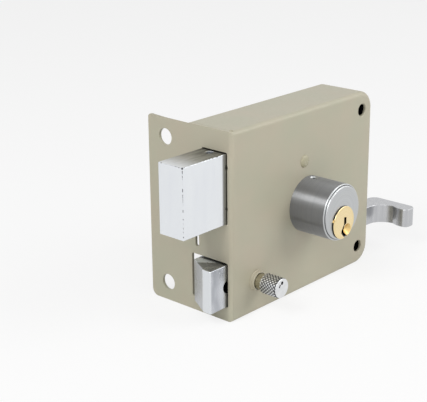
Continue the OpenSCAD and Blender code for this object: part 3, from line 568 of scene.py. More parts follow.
class Solid:
    """A mesh in the making, in millimetres, with the operators that shape it."""

    def __init__(self) -> None:
        """Starts with an empty mesh."""
        self.mesh = bmesh.new()

    @classmethod
    def block(cls, low: Point, high: Point) -> "Solid":
        """A box between two opposite corners.

        Args:
            low: The lowest corner.
            high: The highest corner.

        Returns:
            The box.
        """
        made = cls()
        low, high = Vector(low), Vector(high)
        stretch = Matrix.Diagonal((*(high - low), 1.0))
        bmesh.ops.create_cube(made.mesh, size=1.0, matrix=Matrix.Translation((low + high) / 2) @ stretch)
        return made

    @classmethod
    def rod(cls, start: Point, end: Point, radius: float, end_radius: float | None = None,
            sides: int = 64) -> "Solid":
        """A round rod, or a cone.

        Args:
            start: Centre of the first end.
            end: Centre of the other end.
            radius: Radius at the first end.
            end_radius: Radius at the other end, where it differs.
            sides: Number of sides.

        Returns:
            The rod.
        """
        made = cls()
        start, end = Vector(start), Vector(end)
        turn = (end - start).to_track_quat("Z", "Y").to_matrix().to_4x4()
        bmesh.ops.create_cone(
            made.mesh, cap_ends=True, segments=sides, radius1=radius, depth=(end - start).length,
            radius2=radius if end_radius is None else end_radius,
            matrix=Matrix.Translation((start + end) / 2) @ turn,
        )
        return made

    @classmethod
    def bore(cls, at: Point, reach: Span, radius: float, end_radius: float | None = None,
             sides: int = 64) -> "Solid":
        """A rod square to the front face, at a place across it and from one depth to another."""
        (x, z), (near, far) = at, reach
        return cls.rod((x, near, z), (x, far, z), radius, end_radius, sides)

    @classmethod
    def ball(cls, place: Vector, radius: float) -> "Solid":
        """A small ball.

        Args:
            place: Its centre.
            radius: Its radius.

        Returns:
            The ball.
        """
        made = cls()
        at = Matrix.Translation(place)
        bmesh.ops.create_icosphere(made.mesh, subdivisions=2, radius=radius, matrix=at)
        return made

    @classmethod
    def prism(cls, outline: Sequence[Point], along: Point) -> "Solid":
        """A flat outline pushed along a direction.

        Args:
            outline: The corners of the outline in order.
            along: How far it is pushed, and which way.

        Returns:
            The prism.
        """
        made = cls()
        face = made.mesh.faces.new([made.mesh.verts.new(point) for point in outline])
        made.push(face, along)
        return made

    @classmethod
    def turned(cls, profile: Sequence[Span], centre: Point, axis: Vector = Y_AXIS, sides: int = 96,
               ring: bool = False) -> "Solid":
        """A profile spun round an axis.

        Args:
            profile: Radius and distance along the axis of each point.
            centre: A point on the axis, from which the distances count.
            axis: The axis's direction.
            sides: Number of steps round the axis.
            ring: True where the profile closes on itself, false where its ends lie on the axis.

        Returns:
            The turned solid.
        """
        made = cls()
        side = axis.orthogonal().normalized()
        verts = [made.mesh.verts.new(Vector(centre) + axis * along + side * r) for r, along in profile]
        pairs = list(zip(verts, verts[1:])) + ([(verts[-1], verts[0])] if ring else [])
        edges = [made.mesh.edges.new(pair) for pair in pairs]
        bmesh.ops.spin(
            made.mesh, geom=verts + edges, cent=centre, axis=axis, angle=math.tau, steps=sides,
            use_merge=True, use_duplicate=False,
        )
        made.clean()
        return made

    def push(self, face: bmesh.types.BMFace, along: Point) -> None:
        """Extrudes one face along a direction and closes the solid behind it.

        Args:
            face: The face.
            along: How far it goes, and which way.
        """
        grown = bmesh.ops.extrude_face_region(self.mesh, geom=[face], use_keep_orig=True)["geom"]
        verts = [item for item in grown if isinstance(item, bmesh.types.BMVert)]
        bmesh.ops.translate(self.mesh, vec=along, verts=verts)
        self.clean()

    def clean(self) -> None:
        """Merges doubles and turns every face outwards."""
        bmesh.ops.remove_doubles(self.mesh, verts=self.mesh.verts, dist=MERGE)
        bmesh.ops.dissolve_degenerate(self.mesh, edges=self.mesh.edges, dist=MERGE)
        bmesh.ops.recalc_face_normals(self.mesh, faces=self.mesh.faces)

    def edges(self, test: Callable[[Vector, Vector], bool]) -> list[bmesh.types.BMEdge]:
        """The edges whose two ends pass a test."""
        return [edge for edge in self.mesh.edges if test(edge.verts[0].co, edge.verts[1].co)]

    def round_off(self, items: list, radius: float, steps: int, what: Rounded = Rounded.EDGES) -> None:
        """Rounds some edges, or corners of a flat face.

        Args:
            items: The edges or vertices.
            radius: Radius of the rounding.
            steps: Number of facets across it.
            what: Which of the two the items are.
        """
        bmesh.ops.bevel(
            self.mesh, geom=items, offset=radius, offset_type="OFFSET", segments=steps, profile=0.5,
            affect=what.value, clamp_overlap=False, loop_slide=True, material=-1,
        )

    def soften(self, radius: float, steps: int = 2, angle: float = 40.0) -> "Solid":
        """Rounds every edge that is sharper than an angle.

        Args:
            radius: Radius of the rounding.
            steps: Number of facets across it.
            angle: Least angle between two faces, in degrees.

        Returns:
            The solid itself.
        """
        limit = math.radians(angle)
        sharp = [e for e in self.mesh.edges if e.is_manifold and e.calc_face_angle(0.0) > limit]
        self.round_off(sharp, radius, steps)
        self.clean()
        return self

    def join(self, *others: "Solid") -> "Solid":
        """Adds other solids to this one as they are.

        Args:
            *others: The solids to add.

        Returns:
            The solid itself.
        """
        for other in others:
            spare = bpy.data.meshes.new("spare")
            other.mesh.to_mesh(spare)
            self.mesh.from_mesh(spare)
            bpy.data.meshes.remove(spare)
        return self

    def paint(self, test: Callable[[bmesh.types.BMFace], bool] | None = None, coat: int = 1) -> "Solid":
        """Marks faces, or all of them, for one of a piece's further finishes.

        Args:
            test: Tells which faces to mark.
            coat: The finish's number, the piece's main one being nought.

        Returns:
            The solid itself.
        """
        for face in self.mesh.faces:
            if test is None or test(face):
                face.material_index = coat
        return self

    def holder(self) -> bpy.types.Object:
        """Puts a copy of the mesh in a passing object, with room for its finishes.

        Returns:
            The object.
        """
        mesh = bpy.data.meshes.new("passing")
        self.mesh.to_mesh(mesh)
        for _ in range(COATS):
            mesh.materials.append(None)
        return add_object("passing", mesh)

    def carve(self, *cutters: "Solid") -> "Solid":
        """Cuts other solids out of this one.

        Args:
            *cutters: The solids to take away.

        Returns:
            The solid itself.
        """
        body = self.holder()
        tools = [cutter.holder() for cutter in cutters]
        for tool in tools:
            cut = body.modifiers.new("cut", "BOOLEAN")
            cut.operation = "DIFFERENCE"
            cut.solver = "EXACT"
            cut.object = tool
        graph = bpy.context.evaluated_depsgraph_get()
        carved = bpy.data.meshes.new_from_object(body.evaluated_get(graph))
        self.mesh.clear()
        self.mesh.from_mesh(carved)
        for passing in [body, *tools]:
            data = passing.data
            bpy.data.objects.remove(passing)
            bpy.data.meshes.remove(data)
        bpy.data.meshes.remove(carved)
        bmesh.ops.dissolve_limit(
            self.mesh, angle_limit=FLAT_ANGLE, verts=self.mesh.verts, edges=self.mesh.edges
        )
        self.clean()
        return self

    def piece(self, name: str, body: Body, node: str, *coats: Finish) -> bpy.types.Object:
        """Makes the finished piece: smooth where it is round, crisp where it is not.

        Args:
            name: The piece's name.
            body: The body that it rides on.
            node: The CAD node that it stands for.
            *coats: Its main finish and those of its painted faces.

        Returns:
            The piece's object.
        """
        self.mesh.transform(TO_ROW)
        mesh = bpy.data.meshes.new(name)
        self.mesh.to_mesh(mesh)
        self.mesh.free()
        mesh.polygons.foreach_set("use_smooth", [True] * len(mesh.polygons))
        mesh.set_sharp_from_angle(angle=SHARP_ANGLE)
        for coat in coats:
            mesh.materials.append(coat.material())
        made = add_object(name, mesh)
        weighted = made.modifiers.new("even_faces", "WEIGHTED_NORMAL")
        weighted.keep_sharp = True
        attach(made, body.value)
        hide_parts(node)
        LOG.info("%s: %d faces, rides on %s", name, len(mesh.polygons), body.value)
        return made


@dataclass
class Case:
    """The folded sheet with its forend."""

    sheet: float = 1.5
    fold_r: float = 2.2
    fold_steps: int = 5
    corner_r: float = 9.0
    corner_steps: int = 12
    forend_corner_r: Span = (3.5, 1.6)
    forend_corner_steps: int = 10
    slide_gap: float = 0.3
    latch_gap_back: float = 5.1
    latch_gap_top: float = 0.5
    lever_gap: float = 3.1
    window_r: float = 0.7
    window_steps: int = 4
    peep: tuple[Span, Span] = ((19.8, 31.6), (21.9, 44.0))
    hole_edge: float = 9.0
    forend_hole: Span = (39.4, 3.8)
    rear_hole: Span = (94.7, 2.9)
    dish: float = 0.45
    through: tuple[tuple[str, float], ...] = (("knob_bush", 4.65), ("key_plug", 6.6))
    relief_r: float = 0.9
    relief_sides: int = 24
    edge_r: float = 0.22
    seam: float = 0.18
    snags: tuple[Span, ...] = ((71.9, 2.1), (53.2, 0.65))
    snag_depth: float = 0.45
    snag_sides: int = 32

    def __post_init__(self) -> None:
        """Takes the overall sizes from the frame."""
        self.high = node_box("case_shell")[1]
        self.depth = -CORNER.y / MM
        self.heights = (self.hole_edge, self.high.z - self.hole_edge)
        self.deep = self.sheet + OVERCUT

    def sheet_metal(self) -> Solid:
        """Folds the bare sheet: a tray with round folds, whose end runs on as the forend.

        Returns:
            The sheet, with no holes yet.
        """
        high = self.high
        tray = Solid.block((0, 0, 0), (high.x, self.depth, high.z))
        at_end = tray.edges(lambda a, b: min(a.x, b.x) > high.x - TINY and abs(a.z - b.z) < TINY)
        tray.round_off(at_end, self.corner_r, self.corner_steps)
        back = [face for face in tray.mesh.faces if face.normal.y > FACING]
        bmesh.ops.delete(tray.mesh, geom=back, context="FACES")
        tray.round_off(tray.edges(lambda a, b: max(a.y, b.y) < TINY), self.fold_r, self.fold_steps)
        rim = tray.edges(lambda a, b: max(a.x, b.x) < TINY and min(a.y, b.y) > self.depth - TINY)
        grown = bmesh.ops.extrude_edge_only(tray.mesh, edges=rim)["geom"]
        tips = [item for item in grown if isinstance(item, bmesh.types.BMVert)]
        bmesh.ops.translate(tray.mesh, vec=Y_AXIS * (high.y - self.depth), verts=tips)
        tips.sort(key=lambda vert: vert.co.z)
        for tip, radius in zip(tips, self.forend_corner_r):
            tray.round_off([tip], radius, self.forend_corner_steps, Rounded.CORNERS)
        bmesh.ops.recalc_face_normals(tray.mesh, faces=tray.mesh.faces)
        bmesh.ops.solidify(tray.mesh, geom=tray.mesh.faces[:], thickness=self.sheet)
        tray.clean()
        return tray

    def window(self, low: Point, high: Point) -> Solid:
        """Shapes the cutter for one opening of the forend.

        Args:
            low: The opening's lowest corner, across the forend.
            high: Its highest corner.

        Returns:
            The cutter, with rounded corners.
        """
        made = Solid.block((-OVERCUT, *low), (self.deep, *high))
        made.round_off(made.edges(lambda a, b: abs(a.x - b.x) > OVERCUT), self.window_r, self.window_steps)
        return made

    def windows(self) -> list[Solid]:
        """Places the openings and the screw holes of the forend.

        Returns:
            Cutters for the bolt, the latch, the peep slot and the two screws.
        """
        gap = Vector((self.slide_gap, self.slide_gap))
        bolt_low, bolt_high = node_box("bolt_head")
        latch_low, latch_high = node_box("latch_head")
        play = Vector((self.latch_gap_back, self.latch_gap_top))
        y, r = self.forend_hole
        return [
            self.window(bolt_low.yz - gap, bolt_high.yz + gap),
            self.window(latch_low.yz - gap, latch_high.yz + play),
            self.window(*self.peep),
            *[Solid.rod((-OVERCUT, y, z), (self.deep, y, z), r) for z in self.heights],
        ]

    def front_holes(self) -> list[Solid]:
        """Places the holes of the front, and the relief holes where the folds meet.

        Returns:
            Their cutters.
        """
        x, r = self.rear_hole
        reach = (-OVERCUT, self.deep)
        cutters = []
        for z in self.heights:
            hole = Solid.bore((x, z), reach, r)
            dished = Solid.bore((x, z), (-TINY, self.dish), r + self.dish, r)
            cutters += [hole, dished]
        for node, r in self.through:
            cutters.append(Solid.bore(node_axis(node).xz, reach, r))
        at, half = self.fold_r, self.sheet / 2
        for low, high in ((-OVERCUT, half), (self.high.z - half, self.high.z + OVERCUT)):
            cutters.append(Solid.rod((at, at, low), (at, at, high), self.relief_r, sides=self.relief_sides))
        return cutters

    def lever_window(self) -> Solid:
        """Places the slot that the lever comes out of.

        Returns:
            Its cutter.
        """
        low, high = node_box("pull_lever")
        arm_low, arm_high = node_box("latch_bar")
        return Solid.block(
            (self.high.x - self.deep, arm_low.y - self.lever_gap, low.z - self.slide_gap),
            (self.high.x + OVERCUT, arm_high.y + self.lever_gap, high.z + self.slide_gap),
        )

    def seams(self) -> list[Solid]:
        """Places the fine joints where the rims butt against the forend.

        Returns:
            Their cutters.
        """
        start, end = self.sheet, self.sheet + self.seam
        deep = 2 * self.seam
        return [
            Solid.block((start, 2 * self.fold_r, low), (end, self.depth + OVERCUT, low + deep + OVERCUT))
            for low in (-OVERCUT, self.high.z - deep)
        ]

    def snag_cutters(self) -> list[Solid]:
        """Places the two snags that the press tool has left on the bolt's window.

        Returns:
            Their cutters.
        """
        edge = node_box("bolt_head")[0].y - self.slide_gap - self.snag_depth
        return [
            Solid.rod((-OVERCUT, edge + r, z), (self.deep, edge + r, z), r, sides=self.snag_sides)
            for z, r in self.snags
        ]

    def build(self) -> None:
        """Makes the folded sheet."""
        shell = self.sheet_metal()
        shell.carve(*self.windows(), *self.front_holes(), self.lever_window())
        shell.soften(self.edge_r)
        shell.carve(*self.seams(), *self.snag_cutters())
        shell.piece("folded_case", Body.CASE, "case_shell", CASE_ENAMEL)


@dataclass
class DeadBolt:
    """The square bolt, a little nicked along its edges, with a pin let into it."""

    edge_r: float = 0.3
    edge_steps: int = 3
    pin_x: float = 3.0
    pin_r: float = 1.5
    pin_sides: int = 40
    hole_r: float = 1.8
    hole_rim: float = 0.3
    hole_depth: float = 2.0
    recess: float = 0.8
    nicks: tuple[tuple[int, int], ...] = ((2, 34), (1, 18), (0, 22))
    nick_r: Span = (0.26, 0.48)
    nick_out: float = 0.3
    big_nick_r: float = 0.75
    seed: int = 7

    def nick_cutters(self, corner: Vector, far: Vector) -> list[Solid]:
        """Small dents along the three edges that meet at the bolt's outer top corner.

        Args:
            corner: That corner.
            far: The bolt's opposite corner.

        Returns:
            One small ball for each dent, and a larger one at the corner.
        """
        draw = random.Random(self.seed)
        outward = (corner - far).normalized()
        balls = [(corner, self.big_nick_r)]
        for axis, count in self.nicks:
            for _ in range(count):
                radius = draw.uniform(*self.nick_r)
                place = corner.copy()
                for side in range(3):
                    place[side] += math.copysign(radius * self.nick_out, outward[side])
                place[axis] = corner[axis] + (far[axis] - corner[axis]) * draw.random()
                balls.append((place, radius))
        # Each dent is painted dark, as shade.
        return [Solid.ball(place, radius).paint() for place, radius in balls]

    def build(self) -> None:
        """Makes the bolt and the end of its pin."""
        low, high = node_box("bolt_head")
        centre = Vector((-self.pin_x, (low.y + high.y) / 2, 0))
        bolt = Solid.block(low, high).soften(self.edge_r, self.edge_steps)
        top, sides, mouth_r = centre + Z_AXIS * high.z, self.pin_sides, self.hole_r + self.hole_rim
        hole = Solid.rod(top - Z_AXIS * self.hole_depth, top + Z_AXIS * OVERCUT, self.hole_r, sides=sides)
        rim = Solid.rod(top - Z_AXIS * self.hole_rim, top + Z_AXIS * TINY, self.hole_r, mouth_r, sides)
        nicks = self.nick_cutters(Vector((low.x, low.y, high.z)), Vector((0, high.y, low.z)))
        bolt.carve(hole, rim, *nicks)
        bolt.piece("dead_bolt_block", Body.BOLT, "bolt_head", BOLT_NICKEL, SHADE_IN_HOLLOWS)
        foot, head, edge = low.z + self.recess, high.z - self.recess, self.edge_r / 2
        profile = [
            (0, foot), (self.pin_r, foot), (self.pin_r, head - edge), (self.pin_r - edge, head), (0, head),
        ]
        Solid.turned(profile, centre, Z_AXIS, sides).piece("bolt_pin", Body.BOLT, "saw_pin", BOLT_NICKEL)


@dataclass
class Latch:
    """The bevelled latch block with the holes for the hold-back stem."""

    nose: float = 4.2
    nose_r: float = 0.7
    nose_steps: int = 4
    shoulder: float = 4.2
    edge_r: float = 0.35
    edge_steps: int = 3
    edge_angle: float = 30.0
    stem_r: float = 3.1
    stem_depth: float = 4.0
    stem_sides: int = 48
    stem_at: tuple[Span, ...] = ((0.4, 16.8), (4.7, 15.6), (16.7, 15.6))

    def build(self) -> None:
        """Makes the latch block."""
        low, high = node_box("latch_head")
        outline = [
            (low.x, low.y, low.z), (high.x, low.y, low.z), (high.x, high.y, low.z),
            (-self.shoulder, high.y, low.z), (low.x, low.y + self.nose, low.z),
        ]
        block = Solid.prism(outline, Z_AXIS * (high.z - low.z))
        nose = block.edges(lambda a, b: max(a.x, b.x) < low.x + TINY and abs(a.z - b.z) > TINY)
        block.round_off(nose, self.nose_r, self.nose_steps)
        block.clean()
        block.soften(self.edge_r, self.edge_steps, self.edge_angle)
        reach = (low.y - OVERCUT, low.y + self.stem_depth)
        holes = [Solid.bore(at, reach, self.stem_r, sides=self.stem_sides) for at in self.stem_at]
        # The stem holes are painted dark, as shade.
        block.carve(*[hole.paint() for hole in holes])
        block.piece("latch_block", Body.LATCH, "latch_head", LATCH_NICKEL, SHADE_IN_HOLLOWS)


@dataclass
class ReturnSpring:
    """The wound spring that pushes the latch out, and closes up when the latch is drawn; it is made at rest.
    """

    joint: str = "latch_slide"
    wire_r: float = 0.6
    wire_sides: int = 12
    turns: int = 9
    turn_steps: int = 24

    def wind(self, low: Vector, high: Vector) -> Solid:
        """Sweeps the wire's round section along its coil.

        Args:
            low: The spring's lowest corner.
            high: Its highest corner.

        Returns:
            The spring at rest.
        """
        coil = Solid()
        middle = (low + high) / 2
        start = Matrix.Translation((low.x + self.wire_r, middle.y, high.z - self.wire_r))
        section = start @ Matrix.Rotation(math.pi / 2, 4, "X")
        bmesh.ops.create_circle(coil.mesh, segments=self.wire_sides, radius=self.wire_r, matrix=section)
        wire = coil.mesh.verts[:] + coil.mesh.edges[:]
        steps = self.turns * self.turn_steps
        lead = (high.x - low.x - 2 * self.wire_r) / steps
        bmesh.ops.spin(
            coil.mesh, geom=wire, cent=middle, axis=X_AXIS, dvec=X_AXIS * lead,
            angle=math.tau * self.turns, steps=steps, use_duplicate=False,
        )
        bmesh.ops.holes_fill(coil.mesh, edges=[edge for edge in coil.mesh.edges if edge.is_boundary])
        coil.clean()
        return coil

    def build(self) -> None:
        """Makes the spring on a mesh of its own."""
        low, high = node_box("latch_spring")
        spring = self.wind(low, high).piece("return_spring", Body.CASE, "latch_spring", SPRING)
        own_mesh(spring)


@dataclass
class PullLever:
    """The bent lever that draws the latch by hand; its grip has a lip for the fingers."""

    arm_t: float = 8.6
    waist_t: float = 6.4
    lip_t: float = 8.0
    tip_t: float = 7.4
    waist_y: float = -1.2
    lip_y: float = -5.6
    elbow_r: float = 4.5
    fillet_r: float = 8.6
    soft_r: float = 2.0
    tip_r: float = 2.8
    corner_steps: int = 12
    edge_r: float = 0.35
    edge_steps: int = 3
    edge_angle: float = 50.0

    def build(self) -> None:
        """Makes the lever: an arm and a grip in plan, pushed up and rounded."""
        low, high = node_box("pull_lever")
        arm_y, waist_x = high.y - self.arm_t, high.x - self.waist_t
        corners = [
            ((low.x, high.y), 0), ((low.x, arm_y), 0), ((waist_x, arm_y), self.fillet_r),
            ((waist_x, self.waist_y), self.soft_r), ((high.x - self.lip_t, self.lip_y), self.soft_r),
            ((high.x - self.tip_t, low.y), self.tip_r), ((high.x, low.y), self.tip_r),
            (high.xy, self.elbow_r),
        ]
        lever = Solid()
        verts = [lever.mesh.verts.new((*corner, low.z)) for corner, _ in corners]
        lever.mesh.faces.new(verts)
        for vert, (_, radius) in zip(verts, corners):
            if radius:
                lever.round_off([vert], radius, self.corner_steps, Rounded.CORNERS)
        plan = lever.mesh.faces[:][0]
        lever.push(plan, Z_AXIS * (high.z - low.z))
        lever.soften(self.edge_r, self.edge_steps, self.edge_angle)
        lever.piece("pull_handle", Body.LATCH, "pull_lever", LEVER_CHROME)


@dataclass
class Cylinder:
    """The key cylinder: its sleeve with a rounded lip, and its core with the face disc."""

    wall: float = 1.15
    lip_r: float = 0.5
    lip_drop: float = 0.85
    disc_r: float = 12.5
    groove: float = 0.22
    groove_depth: float = 0.9
    face_edge_r: float = 0.6
    edge_steps: int = 6
    slack: float = 0.05
    plug_drop: float = 4.6
    seat_r: float = 7.75
    seat_depth: float = 1.2
    bore_r: float = 6.45
    screw_y: float = -3.6
    screw_r: float = 1.35
    screw_depth: float = 4.0
    screw_sides: int = 32
    sink: float = 0.6

    def build(self) -> None:
        """Makes the sleeve and the core."""
        low, high = node_box("cylinder_sleeve")
        centre = node_axis("cylinder_sleeve")
        face = node_box("cylinder_core")[0].y
        radius = (high.x - low.x) / 2
        inner, hollow = radius - self.wall, self.disc_r + self.groove
        lip_end = face + self.lip_drop
        lip_top, bottom = lip_end + self.lip_r, lip_end + self.groove_depth
        lip = arc((radius - self.lip_r, lip_top), self.lip_r, 0, -90, self.edge_steps)
        ring = [(inner, 0), (radius, 0), *lip, (hollow, lip_end), (hollow, bottom), (inner, bottom)]
        sleeve = Solid.turned(ring, centre, ring=True)
        # The lip takes the paler face nickel: a painted highlight.
        sleeve.paint(lambda side: side.calc_center_median().y < lip_top and side.normal.y < -SIDEWAYS)
        at, r, sides = Vector((centre.x, self.screw_y, high.z)), self.screw_r, self.screw_sides
        hole = Solid.rod(at - Z_AXIS * self.screw_depth, at + Z_AXIS * OVERCUT, r, sides=sides)
        sink = Solid.rod(at - Z_AXIS * self.sink, at + Z_AXIS * TINY, r, r + self.sink, sides)
        # The countersink takes the paler face nickel too: a painted highlight.
        sleeve.carve(hole, sink.paint())
        sleeve.piece("cylinder_tube", Body.CASE, "cylinder_sleeve", SLEEVE_STEEL, FACE_NICKEL_AND_HIGHLIGHT)
        edge, core_r = self.face_edge_r, inner - self.slack
        core = Solid.turned([
            (0, face), *arc((self.disc_r - edge, face + edge), edge, -90, 0, self.edge_steps),
            (self.disc_r, bottom), (core_r, bottom), (core_r, 0), (0, 0),
        ], centre)
        plug = (centre.x, centre.z - self.plug_drop)
        seat = Solid.bore(plug, (face - OVERCUT, face + self.seat_depth), self.seat_r)
        core.carve(seat, Solid.bore(plug, (face - OVERCUT, OVERCUT), self.bore_r))
        core.piece("cylinder_face", Body.CASE, "cylinder_core", FACE_NICKEL_AND_HIGHLIGHT)


@dataclass
class KeyPlug:
    """The brass plug that the key goes into, with a dished lead-in at its keyway."""

    head_r: float = 7.7
    shank_r: float = 6.4
    seat_depth: float = Cylinder.seat_depth
    proud: float = 0.8
    edge_r: float = 0.3
    edge_steps: int = 3
    key_depth: float = 22.0
    shank_end: float = 5.7
    tang: float = 5.0
    tang_edge_r: float = 0.2
    dish_at: Span = (2.5, -3.8)
    dish_r: Span = (2.7, 0.5)
    dish_depth: float = 2.2
    mark_at: Span = (-7.6, 2.5)
    mark_r: float = 0.7
    keyway: tuple[Span, ...] = (
        (0.0, 2.5), (1.75, 2.3), (1.75, -0.7), (0.4, -1.4), (-0.1, -2.6), (0.1, -4.0), (2.4, -7.0),
        (3.4, -8.7), (1.6, -8.7), (-1.9, -4.8), (-1.8, -3.7), (-0.7, -1.9), (0.0, -1.0),
    )

    def build(self) -> None:
        """Makes the plug, dishes it, cuts the keyway and nicks the rim."""
        low, high = node_box("key_plug")
        centre = node_axis("key_plug")
        x, z = centre.xz
        face, edge = low.y, self.edge_r
        seat = face + self.proud + self.seat_depth
        plug = Solid.turned([
            (0, face), *arc((self.head_r - edge, face + edge), edge, -90, 0, self.edge_steps),
            (self.head_r, seat), (self.shank_r, seat), (self.shank_r, self.shank_end), (0, self.shank_end),
        ], centre)
        # The plug's side wall takes the dark coat: painted shade in the gap round the plug.
        plug.paint(
            lambda side: face + edge < side.calc_center_median().y < seat and abs(side.normal.y) < SIDEWAYS
        )
        dish_at, mark_at = centre.xz + Vector(self.dish_at), centre.xz + Vector(self.mark_at)
        dish = Solid.bore(dish_at, (face - TINY, face + self.dish_depth), *self.dish_r)
        mark = Solid.bore(mark_at, (face - OVERCUT, face + self.proud), self.mark_r)
        outline = [(x + dx, face - OVERCUT, z + dz) for dx, dz in self.keyway]
        keyway = Solid.prism(outline, Y_AXIS * (self.key_depth + OVERCUT))
        # The dish takes a darker gold and the keyway's walls the dark coat: painted shade in both hollows.
        plug.carve(dish.paint(coat=2), mark, keyway.paint())
        half = self.tang / 2
        tang = Solid.block((x - half, self.shank_end - TINY, z - half), (x + half, high.y, z + half))
        plug.join(tang.soften(self.tang_edge_r))
        plug.piece("key_barrel", Body.PLUG, "key_plug", PLUG_BRASS, SHADED_BRASS, SHADED_DISH_BRASS)


@dataclass
class HoldbackKnob:
    """The knurled knob and the bush that it slides in.

    The knurl is drawn half as coarse again as a real one, or its diamonds would run together.
    """

    groove_r: float = 4.05
    around: int = 18
    row: float = 0.84
    rows: int = 10
    flank: float = 0.18
    knurl_gap: float = 3.05
    overlap: float = 0.05
    chamfer: float = 0.3
    sides: int = 84
    neck_r: float = 3.7
    neck_end: float = -0.3
    clearance: float = 0.3
    tube_r: float = 4.5
    flange: float = 0.7
    bush_r: float = 4.6
    bush_edge_r: float = 0.3
    bush_edge_steps: int = 4
    stem_r: float = 2.3
    dents: tuple[Spot, ...] = ((0.1, 2.5, 0.85), (-1.3, 1.7, 0.45), (-1.7, 1.1, 0.45))

    def diamonds(self, start: Vector, radius: float) -> Solid:
        """The knurl: one raised diamond, repeated round the knob and wound along it.

        Args:
            start: Centre of the first ring of diamonds.
            radius: The knob's outer radius.

        Returns:
            The knurled skin.
        """
        skin = Solid()
        mesh = skin.mesh
        step = math.tau / self.around
        sideways = self.groove_r * math.tan(step / 2)
        corners = [(-sideways, 0), (0, -self.row), (sideways, 0), (0, self.row)]
        mesh.faces.new([mesh.verts.new(start + Vector((a, b, self.groove_r))) for a, b in corners])
        mesh.normal_update()
        rise = radius - self.groove_r
        bmesh.ops.inset_individual(mesh, faces=mesh.faces[:], thickness=self.flank, depth=rise)
        # The flanks take the dark coat: painted shade in the grooves.
        skin.paint(lambda side: side.normal.z < FACING)
        for count, turn, shift in ((self.around, step, 0.0), (self.rows, step / 2, self.row)):
            bmesh.ops.spin(
                mesh, geom=mesh.verts[:] + mesh.edges[:] + mesh.faces[:], cent=start, axis=Y_AXIS,
                angle=turn * (count - 1), steps=count - 1, dvec=Y_AXIS * shift, use_duplicate=True,
            )
        bmesh.ops.remove_doubles(mesh, verts=mesh.verts, dist=TINY)
        return skin

    def build(self) -> None:
        """Makes the knob and its bush."""
        low, high = node_box("holdback_knob")
        bush_low, bush_high = node_box("knob_bush")
        centre = node_axis("holdback_knob")
        radius = (high.x - low.x) / 2
        knurl_end, under, cut = bush_low.y - self.knurl_gap, self.groove_r + self.overlap, self.chamfer
        knob = Solid.turned([
            (0, low.y), (radius - cut, low.y), (radius - cut / 2, low.y + cut / 2), (under, low.y + cut),
            (under, knurl_end - cut), (under - cut, knurl_end), (self.neck_r, knurl_end),
            (self.neck_r, self.neck_end), (self.stem_r, self.neck_end), (self.stem_r, high.y), (0, high.y),
        ], centre, sides=self.sides)
        # The neck and stem take the third coat: painted shade and a painted reflection of the enamel.
        knob.paint(lambda side: side.calc_center_median().y > knurl_end, coat=2)
        # The dents on the knob's end are painted dark, as shade.
        knob.carve(*[Solid.ball(centre + Vector((dx, low.y, dz)), r).paint() for dx, dz, r in self.dents])
        knob.join(self.diamonds(centre + Y_AXIS * (low.y + cut + self.row), radius))
        knob.piece("knurled_knob", Body.KNOB, "holdback_knob", KNOB_STEEL, KNURL_FLANKS, NECK_SHADE_STEEL)
        hole_r, flange_r = self.neck_r + self.clearance, (bush_high.x - bush_low.x) / 2
        edge = self.bush_edge_r
        rims = [
            arc((r - edge, y + edge), edge, -90, 0, self.bush_edge_steps)
            for r, y in ((self.tube_r, bush_low.y), (flange_r, -self.flange))
        ]
        bush = Solid.turned([
            (hole_r, bush_low.y), *rims[0], (self.tube_r, -self.flange), *rims[1], (flange_r, 0),
            (self.bush_r, 0), (self.bush_r, bush_high.y), (hole_r, bush_high.y),
        ], centre, ring=True)
        bush.piece("knob_collar", Body.CASE, "knob_bush", CASE_ENAMEL)


@dataclass
class RivetHead:
    """The painted head of the post that is riveted into the front."""

    flat_r: float = 0.7
    dome_steps: int = 6
    sides: int = 56
    neck_r: float = 1.6
    shank_r: float = 2.2
    sheet: float = Case.sheet

    def build(self) -> None:
        """Makes the head and the post behind it."""
        low, high = node_box("guide_post")
        across = (high.x - low.x) / 2 - self.flat_r
        dome = [(self.flat_r + across * c, -low.y * s) for c, s in arc((0, 0), 1, -90, 0, self.dome_steps)]
        post = Solid.turned([
            (0, low.y), *dome, (self.neck_r, 0), (self.neck_r, self.sheet),
            (self.shank_r, self.sheet), (self.shank_r, high.y), (0, high.y),
        ], node_axis("guide_post"), sides=self.sides)
        post.piece("rivet_post", Body.CASE, "guide_post", RIVET_ENAMEL)


# The CAD nodes that keep their own shape, by finish.
CAD_NODES = {
    CASE_ENAMEL: ("back_plate",),
    ZINC: (
        "back_plate_screws", "latch_guide", "detent_block", "cylinder_screws", "set_screw", "bolt_tail",
        "bolt_rivets", "latch_bar", "latch_cross_pin", "lever_cross_pin", "retractor_stud", "retractor",
    ),
    SHADED_TUBE: ("spacer_tubes",),
    SPRING: ("detent_spring", "pin_springs", "snap_ring", "cam_clip"),
    PLUG_BRASS: ("driver_pins", "key_pins", "drive_cam"),
}


def dress_nodes() -> None:
    """Gives the CAD nodes that keep their own shape their finishes."""
    for finish, nodes in CAD_NODES.items():
        for node in nodes:
            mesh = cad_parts[node].data
            mesh.materials.clear()
            mesh.materials.append(finish.material())
            LOG.info("%s: CAD node in %s", node, finish.name)


@dataclass(frozen=True)
class Softbox:
    """A square lamp with a wide soft face, aimed at the lock."""

    name: str
    place: Spot
    side: float
    watts: float

    def hang(self, aim: Vector) -> None:
        """Puts the lamp in the scene.

        Args:
            aim: The point that it faces.
        """
        lamp = bpy.data.lights.new(self.name, "AREA")
        lamp.shape = "SQUARE"
        lamp.size = self.side
        lamp.energy = self.watts
        made = add_object(self.name, lamp)
        made.location = self.place
        made.rotation_euler = (aim - Vector(self.place)).to_track_quat("-Z", "Y").to_euler()


